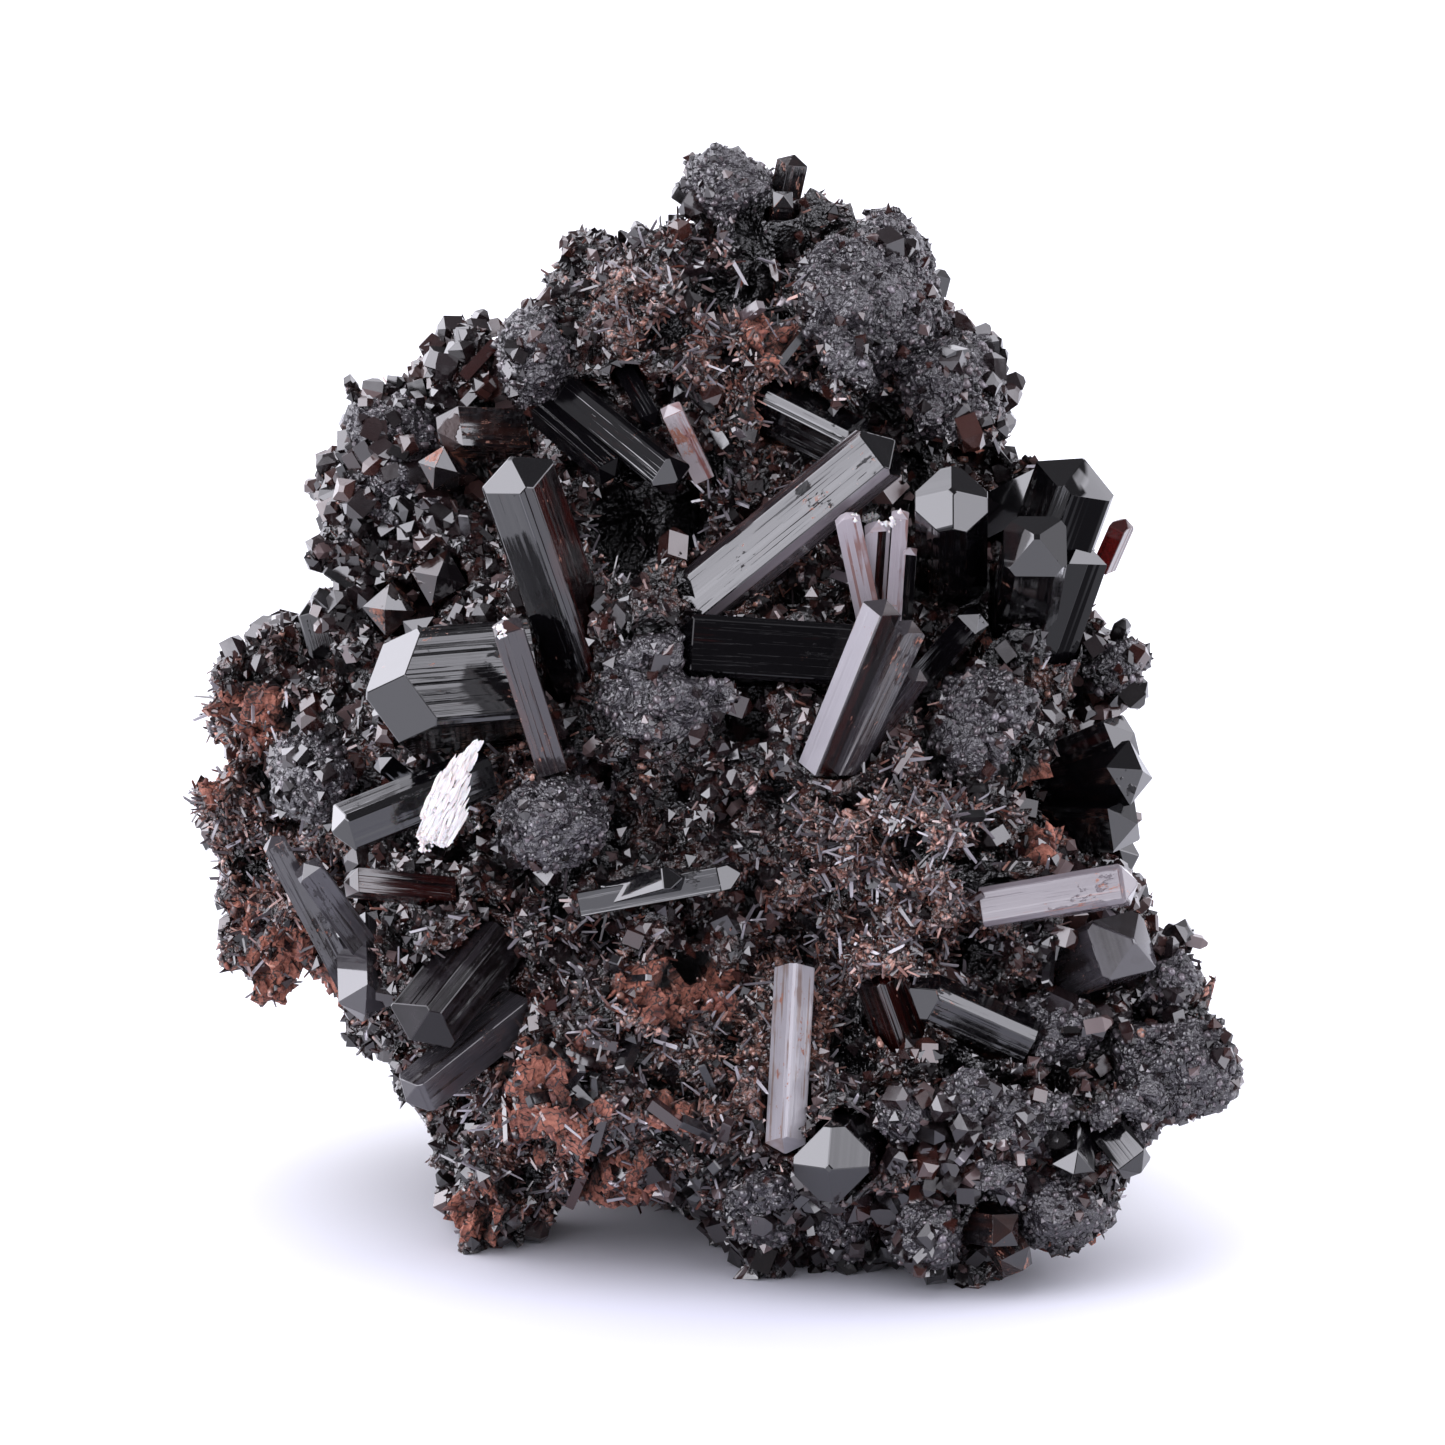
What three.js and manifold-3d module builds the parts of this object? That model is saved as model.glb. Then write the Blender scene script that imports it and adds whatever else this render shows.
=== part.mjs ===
// Manganvesuvianite specimen: lustrous, nearly black square prisms that stand in a rough matrix of
// garnet and brown earthy clay. Each large crystal, or group of crystals grown through each other, is a
// piece of its own, and the small crystals are fused with the matrix that they grow from.
//
// Millimetres, +Z up. The origin is on the resting plane, under the middle of the bounding box.
// The pieces are written as the front of the specimen is seen, from VIEW_ELEVATION above the horizon:
// [across to the right, up the view, toward the eye]. One group then stands the whole thing on its feet.

import * as THREE from "three";
import { ConvexGeometry } from "three/addons/geometries/ConvexGeometry.js";
import { ImprovedNoise } from "three/addons/math/ImprovedNoise.js";
import { mergeVertices } from "three/addons/utils/BufferGeometryUtils.js";
import Module from "manifold-3d";

const wasm = await Module();
wasm.setup();

// Driving dimensions
const VIEW_ELEVATION = 14; // degrees between the line of sight and the resting plane
const CENTRE_ACROSS = 0.2; // middle of the bounding box, before it is moved over the origin
const CENTRE_BACK = 12.4;
const ROCK_MIDDLE = new THREE.Vector3(-0.9, 22, -8); // where the main body's facets are drawn out from
const ROCK_DETAIL = 9; // cuts along each edge of the icosahedron that the main body is drawn from
const FACET_SHIFT = 0.03; // how far its facets are shifted sideways, on a sphere of radius 1
const KNOB_RELIEF = 0.35; // how rough the round knobs are, next to the main body
const SEAT_GAP = 0.3; // clearance between a crystal and the socket that it stands in
const SWELL = 2.2; // height of the matrix's broad swells
const SWELL_SPACING = 6.4;
const CRAG = 2.2; // height of its sharp crags
const CRAG_SPACING = 2.9;
const PYRAMID_RISE = 0.76; // height over half width of vesuvianite's tip, 37 degrees off the flat
const CORNER_CUT = 0.13; // share of a prism's half width that its corner faces usually take
const TIP_FLAT = 0.08; // share of the half width where the tip ends in a flat
const SPRIG_DEPTH = 1.1; // how far a small crystal's root is under the rock's surface
const FLOOR_BLOCK = 120; // side of the block that trims the feet

const noise = new ImprovedNoise();

// A repeatable number from 0 to 1 for each whole number.
function chance(n) {
  const x = Math.sin(n * 12.9898) * 43758.5453;
  return x - Math.floor(x);
}

// Solids

function solidOf(geometry) {
  const bare = geometry.clone();
  bare.deleteAttribute("normal");
  bare.deleteAttribute("uv");
  const merged = mergeVertices(bare, 1e-4);
  return new wasm.Manifold(
    new wasm.Mesh({
      numProp: 3,
      vertProperties: new Float32Array(merged.attributes.position.array),
      triVerts: new Uint32Array(merged.index.array),
    }),
  );
}

function geometryOf(solid) {
  const mesh = solid.getMesh();
  const geometry = new THREE.BufferGeometry();
  geometry.setAttribute("position", new THREE.BufferAttribute(mesh.vertProperties, mesh.numProp));
  geometry.setIndex(new THREE.BufferAttribute(mesh.triVerts, 1));
  return geometry;
}

function joined(solids) {
  return solids.reduce((sum, next) => sum.add(next));
}

// The largest of a solid's separate bodies, without the crumbs that a cut leaves.
function largestBody(solid) {
  return solid.decompose().reduce((best, body) => (body.volume() > best.volume() ? body : best));
}

// Matrix

// How far the rock stands out at a point: broad swells with sharp crags on them.
function rockRelief(p) {
  const swell = noise.noise(p.x / SWELL_SPACING, p.y / SWELL_SPACING, p.z / SWELL_SPACING);
  const crag = Math.abs(noise.noise(p.x / CRAG_SPACING + 40, p.y / CRAG_SPACING, p.z / CRAG_SPACING));
  return SWELL * swell + CRAG * (0.4 - 2 * crag);
}

// The masses that the rock is made of, as [across, up, toward] with half sizes in the same order. sprigs
// is how many small crystals grow on each.
const MASSES = [
  { at: [-0.9, 22, -8], size: [14, 15.5, 12] }, // core
  { at: [2.1, 41.4, -8], size: [7.8, 7.2, 8.5], sprigs: 3 }, // summit
  { at: [5.7, 42.3, -7], size: [3.7, 4.3, 5.4] }, // right shoulder, upper
  { at: [9.9, 37.6, -7], size: [3.7, 4.2, 5.2] }, // right shoulder, lower
  { at: [-6, 39.6, -6], size: [3.7, 4, 5], sprigs: 1 }, // left shoulder
  { at: [-13, 35.2, -9.5], size: [4.4, 4.5, 5.5], sprigs: 3 }, // left wall
  { at: [-9.4, 38.6, -10], size: [3.8, 4.2, 5] }, // behind the left shoulder
  { at: [-13.2, 29.4, -9], size: [3.3, 4.4, 5], sprigs: 1 }, // left wall, lower
  { at: [-19.6, 22.8, -14], size: [4.6, 6.6, 5.5], sprigs: 1 }, // far left lobe
  { at: [-18, 16.6, -13.5], size: [4.5, 4.2, 5.5], sprigs: 1 }, // far left lobe, lower
  { at: [-11.2, 14.2, -3.5], size: [4.6, 6.2, 6.5], sprigs: 1 }, // lower left
  { at: [-4.2, 8.2, 0], size: [6.4, 4.6, 7] }, // lower middle
  { at: [4, 6, 1], size: [6, 6.4, 6.8], sprigs: 1 }, // front foot
  { at: [11, 6, 2], size: [5, 6.6, 6.5], sprigs: 1 }, // right foot
  { at: [16.2, 7.4, 1], size: [4, 5.4, 5.5], sprigs: 1 }, // lower right
  { at: [14.3, 16, -3], size: [4.2, 7, 7.5], sprigs: 1 }, // right flank
  { at: [13.8, 27.4, -6], size: [3.8, 6.4, 6.5] }, // right flank, upper
  { at: [8.6, 19.4, 1.5], size: [5.8, 5.4, 4.8], sprigs: 1 }, // clay bulge
  { at: [-1, 30, -14.5], size: [12, 10.5, 8], sprigs: 4 }, // upper back
  { at: [-4, 17, -16], size: [12.5, 9.5, 7.5], sprigs: 4 }, // lower back
  { at: [8.5, 17, -14.5], size: [9, 9.5, 8.5], sprigs: 3 }, // right back
  { at: [3, 4.5, -13], size: [8, 7.5, 7], sprigs: 1 }, // back foot
];

// Dark recesses in the front of the rock.
const HOLLOWS = [
  { at: [-4.4, 33.6, 1.5], size: [3, 3.4, 4.5] }, // between the two big upper prisms
  { at: [2.4, 45, 0.5], size: [2.4, 2.2, 3] }, // under the summit knob
  { at: [2, 33, 2.8], size: [4.4, 3, 4] }, // behind the long prism
  { at: [8.6, 36.4, -0.5], size: [2.6, 2, 3.2] }, // under the right shoulder
  { at: [-2.6, 21.4, 4.5], size: [2, 2, 3.4] }, // beside the middle dome
  { at: [15.8, 21.6, 1.5], size: [2.2, 3.4, 4] }, // right flank
  { at: [11.4, 12.6, 7.4], size: [2, 1.8, 3] }, // above the right foot
  { at: [-13, 31, -2.8], size: [1.9, 2.4, 3] }, // left wall
];

// Round knobs that stand on the masses.
const KNOBS = [
  { at: [1.2, 47.6, -7], size: [2.1, 2.5, 2.6] }, // summit
  { at: [-3.5, 43.9, -12], size: [4, 3.3, 4] }, // behind the summit
  { at: [-17.2, 22, -7], size: [2.6, 3.4, 4] }, // left
  { at: [-9.8, 4.6, -3], size: [2.7, 4.9, 3] }, // left foot
  { at: [20.8, 9.4, 0.5], size: [3.1, 3.1, 3] }, // far right
  { at: [18, 11, 2], size: [2.5, 2.5, 2.8] },
  { at: [15.8, 3, 3.2], size: [2.5, 2.4, 2.6] }, // low right
  { at: [16.6, 26.8, -6], size: [2.6, 2, 2.6] }, // right flank
  { at: [13, 23.6, 1], size: [3, 2.8, 2.8] }, // above the clay bulge
  { at: [-7.4, 20.4, 3.4], size: [3.1, 2.7, 2.6] }, // middle
  { at: [-1.2, 25.4, 3], size: [3.2, 2.8, 2.6] },
  { at: [-2.6, 28.5, 3.2], size: [2.3, 2.1, 3.2] }, // over the buried prism's end
  { at: [7.9, 13.7, 4.2], size: [2.3, 1.6, 2.2] }, // over the leaning red prism
  { at: [20.2, 13, 1.2], size: [1.3, 1.4, 1.6] }, // right, over the far right knob
  { at: [5.6, 32.6, -20.4], size: [3.2, 3, 2.6] }, // back
  { at: [-9.4, 31.6, -19.6], size: [3, 3.4, 2.8] },
  { at: [-1.6, 13.6, -22.6], size: [3.4, 3, 2.6] },
  { at: [11, 23.4, -21], size: [2.8, 3.2, 2.6] },
  { at: [-12.4, 20.6, -21.4], size: [3, 2.8, 2.6] },
];

// Where a ray from the rock's middle enters and leaves an ellipsoid, or null where it misses it.
function crossing(direction, { at, size }) {
  const shrink = new THREE.Vector3(1 / size[0], 1 / size[1], 1 / size[2]);
  const from = ROCK_MIDDLE.clone().sub(new THREE.Vector3(...at)).multiply(shrink);
  const along = direction.clone().multiply(shrink);
  const [a, b, c] = [along.dot(along), from.dot(along), from.dot(from) - 1];
  const root = b * b - a * c;
  if (root < 0) return null;
  return { near: (-b - Math.sqrt(root)) / a, far: (-b + Math.sqrt(root)) / a };
}

// How far the rock reaches from its middle: to where the ray leaves the farthest mass, or to the back of
// a hollow.
function rockReach(direction) {
  const masses = MASSES.map((mass) => crossing(direction, mass)).filter(Boolean);
  const reach = Math.max(...masses.map((mass) => mass.far));
  const hollows = HOLLOWS.map((hollow) => crossing(direction, hollow)).filter(Boolean);
  const hollow = hollows.find(({ near, far }) => near > 0 && near < reach && reach < far + 1);
  return hollow ? hollow.near : reach;
}

// The main body, a sphere of facets drawn out to the masses. The facets are shifted a little sideways,
// so that they don't lie in rows.
function rockSolid() {
  const geometry = new THREE.IcosahedronGeometry(1, ROCK_DETAIL);
  const position = geometry.attributes.position;
  const direction = new THREE.Vector3();
  for (let i = 0; i < position.count; i++) {
    direction.fromBufferAttribute(position, i).normalize();
    const { x, y, z } = direction.clone().multiplyScalar(9);
    const shift = new THREE.Vector3(noise.noise(x, y, z), noise.noise(y, z, x), noise.noise(z, x, y));
    direction.addScaledVector(shift, FACET_SHIFT).normalize();
    const p = direction.clone().multiplyScalar(rockReach(direction)).add(ROCK_MIDDLE);
    p.addScaledVector(direction, rockRelief(p));
    position.setXYZ(i, p.x, p.y, p.z);
  }
  return solidOf(geometry);
}

function knobSolid({ at, size }) {
  const geometry = new THREE.IcosahedronGeometry(1, 1);
  const position = geometry.attributes.position;
  for (let i = 0; i < position.count; i++) {
    const direction = new THREE.Vector3().fromBufferAttribute(position, i).normalize();
    const p = direction.clone().multiply(new THREE.Vector3(...size)).add(new THREE.Vector3(...at));
    p.addScaledVector(direction, KNOB_RELIEF * rockRelief(p));
    position.setXYZ(i, p.x, p.y, p.z);
  }
  return solidOf(geometry);
}

// Crystals

// The corners of the convex body that a list of planes leaves: every point where three of them meet and
// that is behind all the others. A plane is its outward direction and its distance from the origin.
function cornersBehind(planes) {
  const corners = [];
  const solve = new THREE.Matrix3();
  for (let i = 0; i < planes.length; i++)
    for (let j = i + 1; j < planes.length; j++)
      for (let k = j + 1; k < planes.length; k++) {
        const [a, b, c] = [planes[i], planes[j], planes[k]];
        const [n, m, o] = [a.normal, b.normal, c.normal];
        solve.set(n.x, n.y, n.z, m.x, m.y, m.z, o.x, o.y, o.z);
        if (Math.abs(solve.determinant()) < 1e-6) continue;
        const point = new THREE.Vector3(a.distance, b.distance, c.distance);
        point.applyMatrix3(solve.invert());
        const behind = planes.every((plane) => plane.normal.dot(point) <= plane.distance + 1e-6);
        if (behind && corners.every((corner) => corner.distanceTo(point) > 1e-3)) corners.push(point);
      }
  return corners;
}

function plane(x, y, z, distance) {
  const normal = new THREE.Vector3(x, y, z);
  const length = normal.length();
  return { normal: normal.divideScalar(length), distance: distance / length };
}

// A vesuvianite prism along +Z, from z = 0 to its tip at z = length. It has four wide faces, four narrow
// ones across the corners, and a four-sided pyramid that ends in a small flat. Small crystals leave out
// the corner faces and the flat. Real faces grow at unequal rates, so each is a little off its place.
function crystalGeometry({ length, width, depth = width, seed = 1, small = false, ...shape }) {
  const { rise = PYRAMID_RISE, cut = CORNER_CUT } = shape;
  const [halfWidth, halfDepth] = [width / 2, depth / 2];
  const uneven = (i, share) => 1 + share * (2 * chance(seed * 17 + i) - 1);
  const least = Math.min(halfWidth, halfDepth);
  const lift = (i) => length + rise * TIP_FLAT * least * uneven(i, 0.9);
  const planes = [
    plane(0, 0, -1, 0),
    plane(1, 0, 0, halfWidth * uneven(1, 0.06)),
    plane(-1, 0, 0, halfWidth * uneven(2, 0.06)),
    plane(0, 1, 0, halfDepth * uneven(3, 0.06)),
    plane(0, -1, 0, halfDepth * uneven(4, 0.06)),
    plane(rise, 0, 1, lift(5)),
    plane(-rise, 0, 1, lift(6)),
    plane(0, rise, 1, lift(7)),
    plane(0, -rise, 1, lift(8)),
  ];
  if (!small) {
    const corner = halfWidth + halfDepth - cut * 2 * least;
    planes.push(plane(0, 0, 1, length));
    planes.push(plane(1, 1, 0, corner * uneven(9, 0.05)));
    planes.push(plane(-1, 1, 0, corner * uneven(10, 0.05)));
    planes.push(plane(1, -1, 0, corner * uneven(11, 0.05)));
    planes.push(plane(-1, -1, 0, corner * uneven(12, 0.05)));
  }
  return new ConvexGeometry(cornersBehind(planes));
}

// Where a crystal stands: its root, and the turn that carries +Z to the direction of its tip.
function standing({ root, tip, turn = 0 }) {
  const from = new THREE.Vector3(...root);
  const axis = new THREE.Vector3(...tip).sub(from);
  const up = new THREE.Vector3(0, 0, 1);
  const lean = new THREE.Quaternion().setFromUnitVectors(up, axis.clone().normalize());
  const spin = new THREE.Quaternion().setFromAxisAngle(up, THREE.MathUtils.degToRad(turn));
  return { from, length: axis.length(), turned: lean.multiply(spin) };
}

// One crystal as a solid where it stands, grown on all sides by extra.
function crystalSolid(crystal, extra = 0) {
  const { from, length, turned } = standing(crystal);
  const { width, depth = crystal.width, seed, small, rise, cut } = crystal;
  const sizes = { length: length + 2 * extra, width: width + 2 * extra, depth: depth + 2 * extra };
  const geometry = crystalGeometry({ ...sizes, seed, small, rise, cut });
  geometry.translate(0, 0, -extra);
  geometry.applyQuaternion(turned);
  geometry.translate(from.x, from.y, from.z);
  return solidOf(geometry);
}

// The large crystals. Each row is one piece: a crystal, or several that have grown through each other.
const PRISMS = {
  long_prism: [{ root: [-3.2, 27.9, 0], tip: [8.4, 37.3, 2.4], width: 2.7, depth: 2.6, turn: 27 }],
  upper_left_prism: [{ root: [-5.3, 26, 0.2], tip: [-8.9, 36.4, 6.2], width: 2.7, turn: 72 }],
  stout_left_prism: [
    { root: [-8.4, 26.3, 1.6], tip: [-15.5, 25.7, 3.6], width: 6.2, cut: 0.44, turn: 66 },
  ],
  leaning_left_prism: [
    { root: [-7.1, 22.4, 4.4], tip: [-9.2, 29.2, 7.6], width: 1.4, depth: 1.3, turn: 16, small: true },
  ],
  near_prism_left: [
    { root: [11, 31.2, -1.8], tip: [10.9, 34.9, 6.6], width: 3, turn: 45, cut: 0.25 },
  ],
  right_top_prisms: [
    { root: [14.3, 29.2, -2.6], tip: [14.8, 32.8, 6], width: 2.9, cut: 0.18 },
    { root: [13.6, 27, -3.4], tip: [17, 36.5, 0.4], width: 3.3, depth: 2.8, turn: 100 },
    { root: [12.2, 33.4, -4.2], tip: [16.8, 35.7, -2.4], width: 2, turn: 10, small: true },
    { root: [14.6, 26.2, -3.2], tip: [16.9, 32.9, -0.2], width: 2.2, turn: 20, small: true },
  ],
  red_shard: [
    { root: [18, 31.5, -3.8], tip: [19, 33.8, -3], width: 1.2, depth: 0.8, turn: 50, small: true },
  ],
  twin_prisms: [
    { root: [4.9, 22.4, 5], tip: [7.95, 30, 8.4], width: 1.35, depth: 1.3, turn: 28, small: true },
    { root: [6, 22.4, 4.8], tip: [9.1, 29.1, 7.8], width: 1.4, depth: 1, turn: 26, small: true },
    { root: [6.4, 22.6, 3.8], tip: [9.5, 26.9, 6], width: 1.1, depth: 0.9, turn: 24, small: true },
  ],
  upright_blades: [
    { root: [7.3, 29, 1.2], tip: [6.2, 34, 3.9], width: 1.15, depth: 0.6, turn: 12, small: true },
    { root: [7.9, 29.2, 0.6], tip: [7.6, 33.6, 3.2], width: 1.2, depth: 0.9, turn: 4, small: true },
    { root: [8.3, 28.8, 1.2], tip: [8.65, 34.1, 4], width: 0.75, depth: 0.8, turn: 85, small: true },
    { root: [8.9, 29.2, 1.4], tip: [9.1, 32.4, 3.6], width: 0.55, depth: 0.6, turn: 84, small: true },
  ],
  upper_dark_prism: [{ root: [0.6, 40.1, -3], tip: [7.1, 36.8, -0.4], width: 2.2, depth: 2.1, turn: 8 }],
  striated_fan: [
    { root: [-6.2, 39.4, -1.8], tip: [-1.4, 35.4, 3.6], width: 1.6, depth: 1.7, turn: 62 },
    { root: [-7.6, 38.6, -1.6], tip: [-4.3, 35.7, 2.2], width: 1.1, depth: 1, turn: 20, small: true },
    { root: [-4.2, 41, -2.4], tip: [-2.5, 38, 1.4], width: 0.9, turn: 20, small: true },
  ],
  pink_prism: [
    { root: [-0.3, 35.7, 0], tip: [-1.85, 38.9, 2.4], width: 0.95, depth: 0.8, turn: 22, small: true },
  ],
  buried_prism: [{ root: [7, 27.5, 3.2], tip: [-1.8, 28.1, 4.1], width: 2.9, depth: 2.8, turn: 86 }],
  lower_left_prism: [
    { root: [-10, 22.3, 3.6], tip: [-17, 19.5, 5.4], width: 1.95, depth: 1.9, turn: 86 },
  ],
  crossing_prism: [
    { root: [-13, 21.2, 0.6], tip: [-15, 22.9, 2], width: 0.95, depth: 0.8, turn: 50, small: true },
  ],
  dark_red_prism: [
    { root: [-11.8, 16.8, 1.4], tip: [-16.5, 17.3, 4.2], width: 1.15, depth: 1.1, turn: 10, small: true },
  ],
  left_edge_prisms: [
    { root: [-16, 11.8, -2], tip: [-19.9, 19.3, 0.4], width: 1.1, depth: 0.9, turn: 28, small: true },
    { root: [-15.2, 13.6, -1.2], tip: [-18.4, 18.1, 1.8], width: 1.3, depth: 1.1, turn: 35, small: true },
    { root: [-15.8, 15, -2.2], tip: [-15.6, 11.3, 1.4], width: 1.7, turn: 40, small: true },
  ],
  lower_left_stout: [
    { root: [-10, 14.6, 1], tip: [-13.5, 10.2, 4.8], width: 2.9, depth: 2.4, turn: 12 },
  ],
  lower_left_bar: [
    { root: [-8.4, 11.6, 1.4], tip: [-13.7, 7.4, 4.4], width: 1.9, depth: 1.5, turn: 5, small: true },
  ],
  lying_prisms: [
    { root: [-5.6, 16.4, 4], tip: [1.4, 17.7, 6.6], width: 2, depth: 1.1, turn: 15, small: true },
    { root: [-4.4, 16.6, 4.4], tip: [-1.2, 17.5, 6.9], width: 1.6, depth: 1, small: true },
  ],
  vertical_bar: [{ root: [3.85, 13.4, 4.4], tip: [3.4, 5.1, 6.8], width: 1.45, depth: 1.4, turn: 50 }],
  near_blunt_prism: [
    { root: [6.7, 5.6, 3.4], tip: [5.3, 4.5, 10], width: 3.2, depth: 3, turn: 45, cut: 0.2 },
  ],
  leaning_red_prism: [
    { root: [9.8, 7.4, 3.4], tip: [7.6, 13.6, 4.8], width: 2.1, depth: 2, turn: 57 },
  ],
  grey_slab: [
    { root: [14.4, 10.1, 5], tip: [9, 12.5, 6.4], width: 1.9, depth: 1.9, turn: 42, rise: 1.2 },
  ],
  right_striated_prism: [
    { root: [12.4, 16.1, 5.2], tip: [19.3, 17.3, 6.4], width: 1.9, depth: 1.8, turn: 3 },
  ],
  right_blunt_prism: [{ root: [16, 13, 0], tip: [19.1, 14.7, 6], width: 3, depth: 2.8, turn: 15 }],
  right_edge_prisms: [
    { root: [16.6, 22.8, -2.2], tip: [19.3, 24, -0.4], width: 2, turn: 20, small: true },
    { root: [16, 21.6, -2.6], tip: [19.6, 22.3, 1], width: 2.1, turn: 40, small: true },
    { root: [15.2, 20, -2.6], tip: [19.4, 19.9, 0.6], width: 2.1, turn: 15, small: true },
  ],
  right_low_prism: [{ root: [16, 18, -4], tip: [19.6, 18.4, -2.6], width: 1.6, turn: 30, small: true }],
  lower_right_prisms: [
    { root: [16.8, 7.6, 3.4], tip: [19.5, 4.2, 5.4], width: 1.6, depth: 1.3, turn: 36, small: true },
    { root: [16.6, 6.6, 3.4], tip: [16.4, 4.2, 7.2], width: 1.4, turn: 35, small: true },
  ],
  bottom_prisms: [
    { root: [12.2, 2.6, 4.4], tip: [14.1, -0.2, 6.6], width: 1.5, turn: 20, small: true },
    { root: [11.6, 1.8, 4.6], tip: [13.6, 1.6, 7.8], width: 1.4, small: true },
  ],
  left_wall_prism: [
    { root: [-8.8, 37.7, -4.4], tip: [-12.4, 37.8, -1.8], width: 1.8, turn: 15, small: true },
    { root: [-11.2, 36, -5.4], tip: [-12.5, 36.1, -1.6], width: 1.5, turn: 30, small: true },
  ],
  left_wall_cluster: [
    { root: [-11.8, 30.4, -7], tip: [-12.4, 31.2, -2], width: 1.9, turn: 30, small: true },
    { root: [-14, 30, -8], tip: [-14.8, 29.6, -3.2], width: 1.8, turn: 40, small: true },
    { root: [-12.6, 30, -7.6], tip: [-13.2, 28.4, -3], width: 1.5, turn: 10, small: true },
  ],
  far_left_prism: [
    { root: [-17.2, 26, -12], tip: [-18.4, 30.2, -11], width: 1.5, turn: 10, small: true },
  ],
  centre_right_prism: [
    { root: [9.6, 26.4, 2], tip: [12.2, 29.4, 4.6], width: 1.3, depth: 1.1, turn: 40, small: true },
  ],
  summit_prisms: [
    { root: [3, 46.4, -7], tip: [3.9, 50.5, -5.8], width: 1.05, turn: 20, small: true },
    { root: [3, 46.6, -6.8], tip: [3.4, 48.6, -3.8], width: 0.9, small: true },
  ],
  back_tall_prism: [{ root: [-1, 22, -18.6], tip: [2, 31, -26.4], width: 3.6, depth: 3.4, turn: 20 }],
  back_cross_prism: [
    { root: [-4, 21, -20], tip: [-11.4, 25.4, -25.4], width: 3, depth: 2.8, turn: 35 },
  ],
  back_low_prisms: [
    { root: [4, 16, -18.6], tip: [9.2, 10.6, -24.4], width: 3, turn: 10 },
    { root: [5.4, 16.4, -18.6], tip: [9.8, 16.6, -24.8], width: 2.4, turn: 30, small: true },
  ],
  back_upper_prisms: [
    { root: [-2.6, 35, -17.6], tip: [-6, 40, -21.6], width: 2.8, turn: 15 },
    { root: [-1.8, 35, -17.6], tip: [-1, 41.4, -21.2], width: 2.3, turn: 40, small: true },
  ],
  back_left_prism: [{ root: [-11.4, 14.6, -17], tip: [-16, 11.4, -21], width: 2.6, turn: 25 }],
  back_right_prism: [{ root: [12, 18.4, -15], tip: [17.4, 22.4, -18.6], width: 3, turn: 30 }],
  back_right_low_prism: [{ root: [12, 10.4, -12.6], tip: [17.2, 9.4, -15.6], width: 2.6, turn: 10 }],
};

// A splinter of white calcite: a thin wedge with ragged ends, leaning in the lower left of the front.
const SPLINTER = [
  [-10.5, 23.9, 6.2],
  [-11, 22.8, 6.6],
  [-13.5, 19.9, 7.4],
  [-13.4, 19.4, 6.8],
  [-12.9, 18.7, 6.6],
  [-11.8, 18.7, 6.2],
  [-11.2, 19.6, 7.2],
  [-10.8, 21.6, 6.7],
  [-10.8, 21.4, 6],
  [-12.6, 20.3, 6.6],
];

// Small crystals fused with the front of the rock.
const SMALL_PRISMS = [
  { root: [-6.6, 8.6, 3], tip: [-3.6, 11.2, 6.2], width: 1.3, turn: 10 }, // lower middle
  { root: [-5.4, 12.6, 3], tip: [-2.4, 10.5, 6.4], width: 1, turn: 30 },
  { root: [-4.2, 13.4, 2], tip: [-2.1, 15.6, 4.8], width: 1, turn: 20 },
  { root: [-4.6, 24.2, 3.4], tip: [-1.6, 23.2, 6.4], width: 1.2, turn: 15 }, // middle balls
  { root: [6, 39.6, -1.4], tip: [5.8, 40.4, 1.6], width: 1.8, turn: 40 }, // summit
  { root: [0.6, 46, -5.4], tip: [0.2, 47, -3.2], width: 0.9, turn: 15 },
  { root: [13.8, 27.2, -2], tip: [14.6, 28.2, 1.6], width: 2, turn: 30 }, // right flank
  { root: [11.4, 37.2, -4], tip: [12.3, 38, -1.6], width: 1.4, turn: 20 }, // right shoulder
  { root: [-11.4, 33.4, -4.4], tip: [-12.6, 34.2, -2], width: 1.2, turn: 30 }, // left wall
];

// Small crystals on the rock masses, spread over each by the golden angle. They lean at random from
// straight out, and those that fall inside another mass are lost in it.
const GOLDEN_ANGLE = Math.PI * (3 - Math.sqrt(5));

function sprigsOn({ at, size, sprigs = 0 }, index) {
  const grown = [];
  for (let i = 0; i < sprigs; i++) {
    const seed = index * 31 + i;
    const height = 1 - (2 * (i + 0.5)) / sprigs;
    const ring = Math.sqrt(1 - height * height);
    const angle = i * GOLDEN_ANGLE;
    const out = new THREE.Vector3(Math.cos(angle) * ring, height, Math.sin(angle) * ring);
    const centre = new THREE.Vector3(...at);
    const surface = out.clone().multiply(new THREE.Vector3(...size));
    const root = surface.addScaledVector(out, -SPRIG_DEPTH).add(centre);
    const stray = new THREE.Vector3(chance(seed + 0.1), chance(seed + 0.2), chance(seed + 0.3));
    stray.subScalar(0.5);
    const reach = SPRIG_DEPTH + 0.5 + chance(seed + 0.4);
    const tip = out.clone().addScaledVector(stray, 1.6).normalize().multiplyScalar(reach).add(root);
    const width = 1.2 + 1.2 * chance(seed + 0.5);
    const turn = 90 * chance(seed + 0.6);
    grown.push({ root: root.toArray(), tip: tip.toArray(), width, turn, seed, small: true });
  }
  return grown;
}

// The block under the resting plane, turned as the view sees it.
function floorSolid() {
  const block = new THREE.BoxGeometry(FLOOR_BLOCK, FLOOR_BLOCK, FLOOR_BLOCK);
  block.translate(0, 0, -FLOOR_BLOCK / 2);
  block.rotateX(THREE.MathUtils.degToRad(VIEW_ELEVATION - 90));
  return solidOf(block);
}

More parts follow.
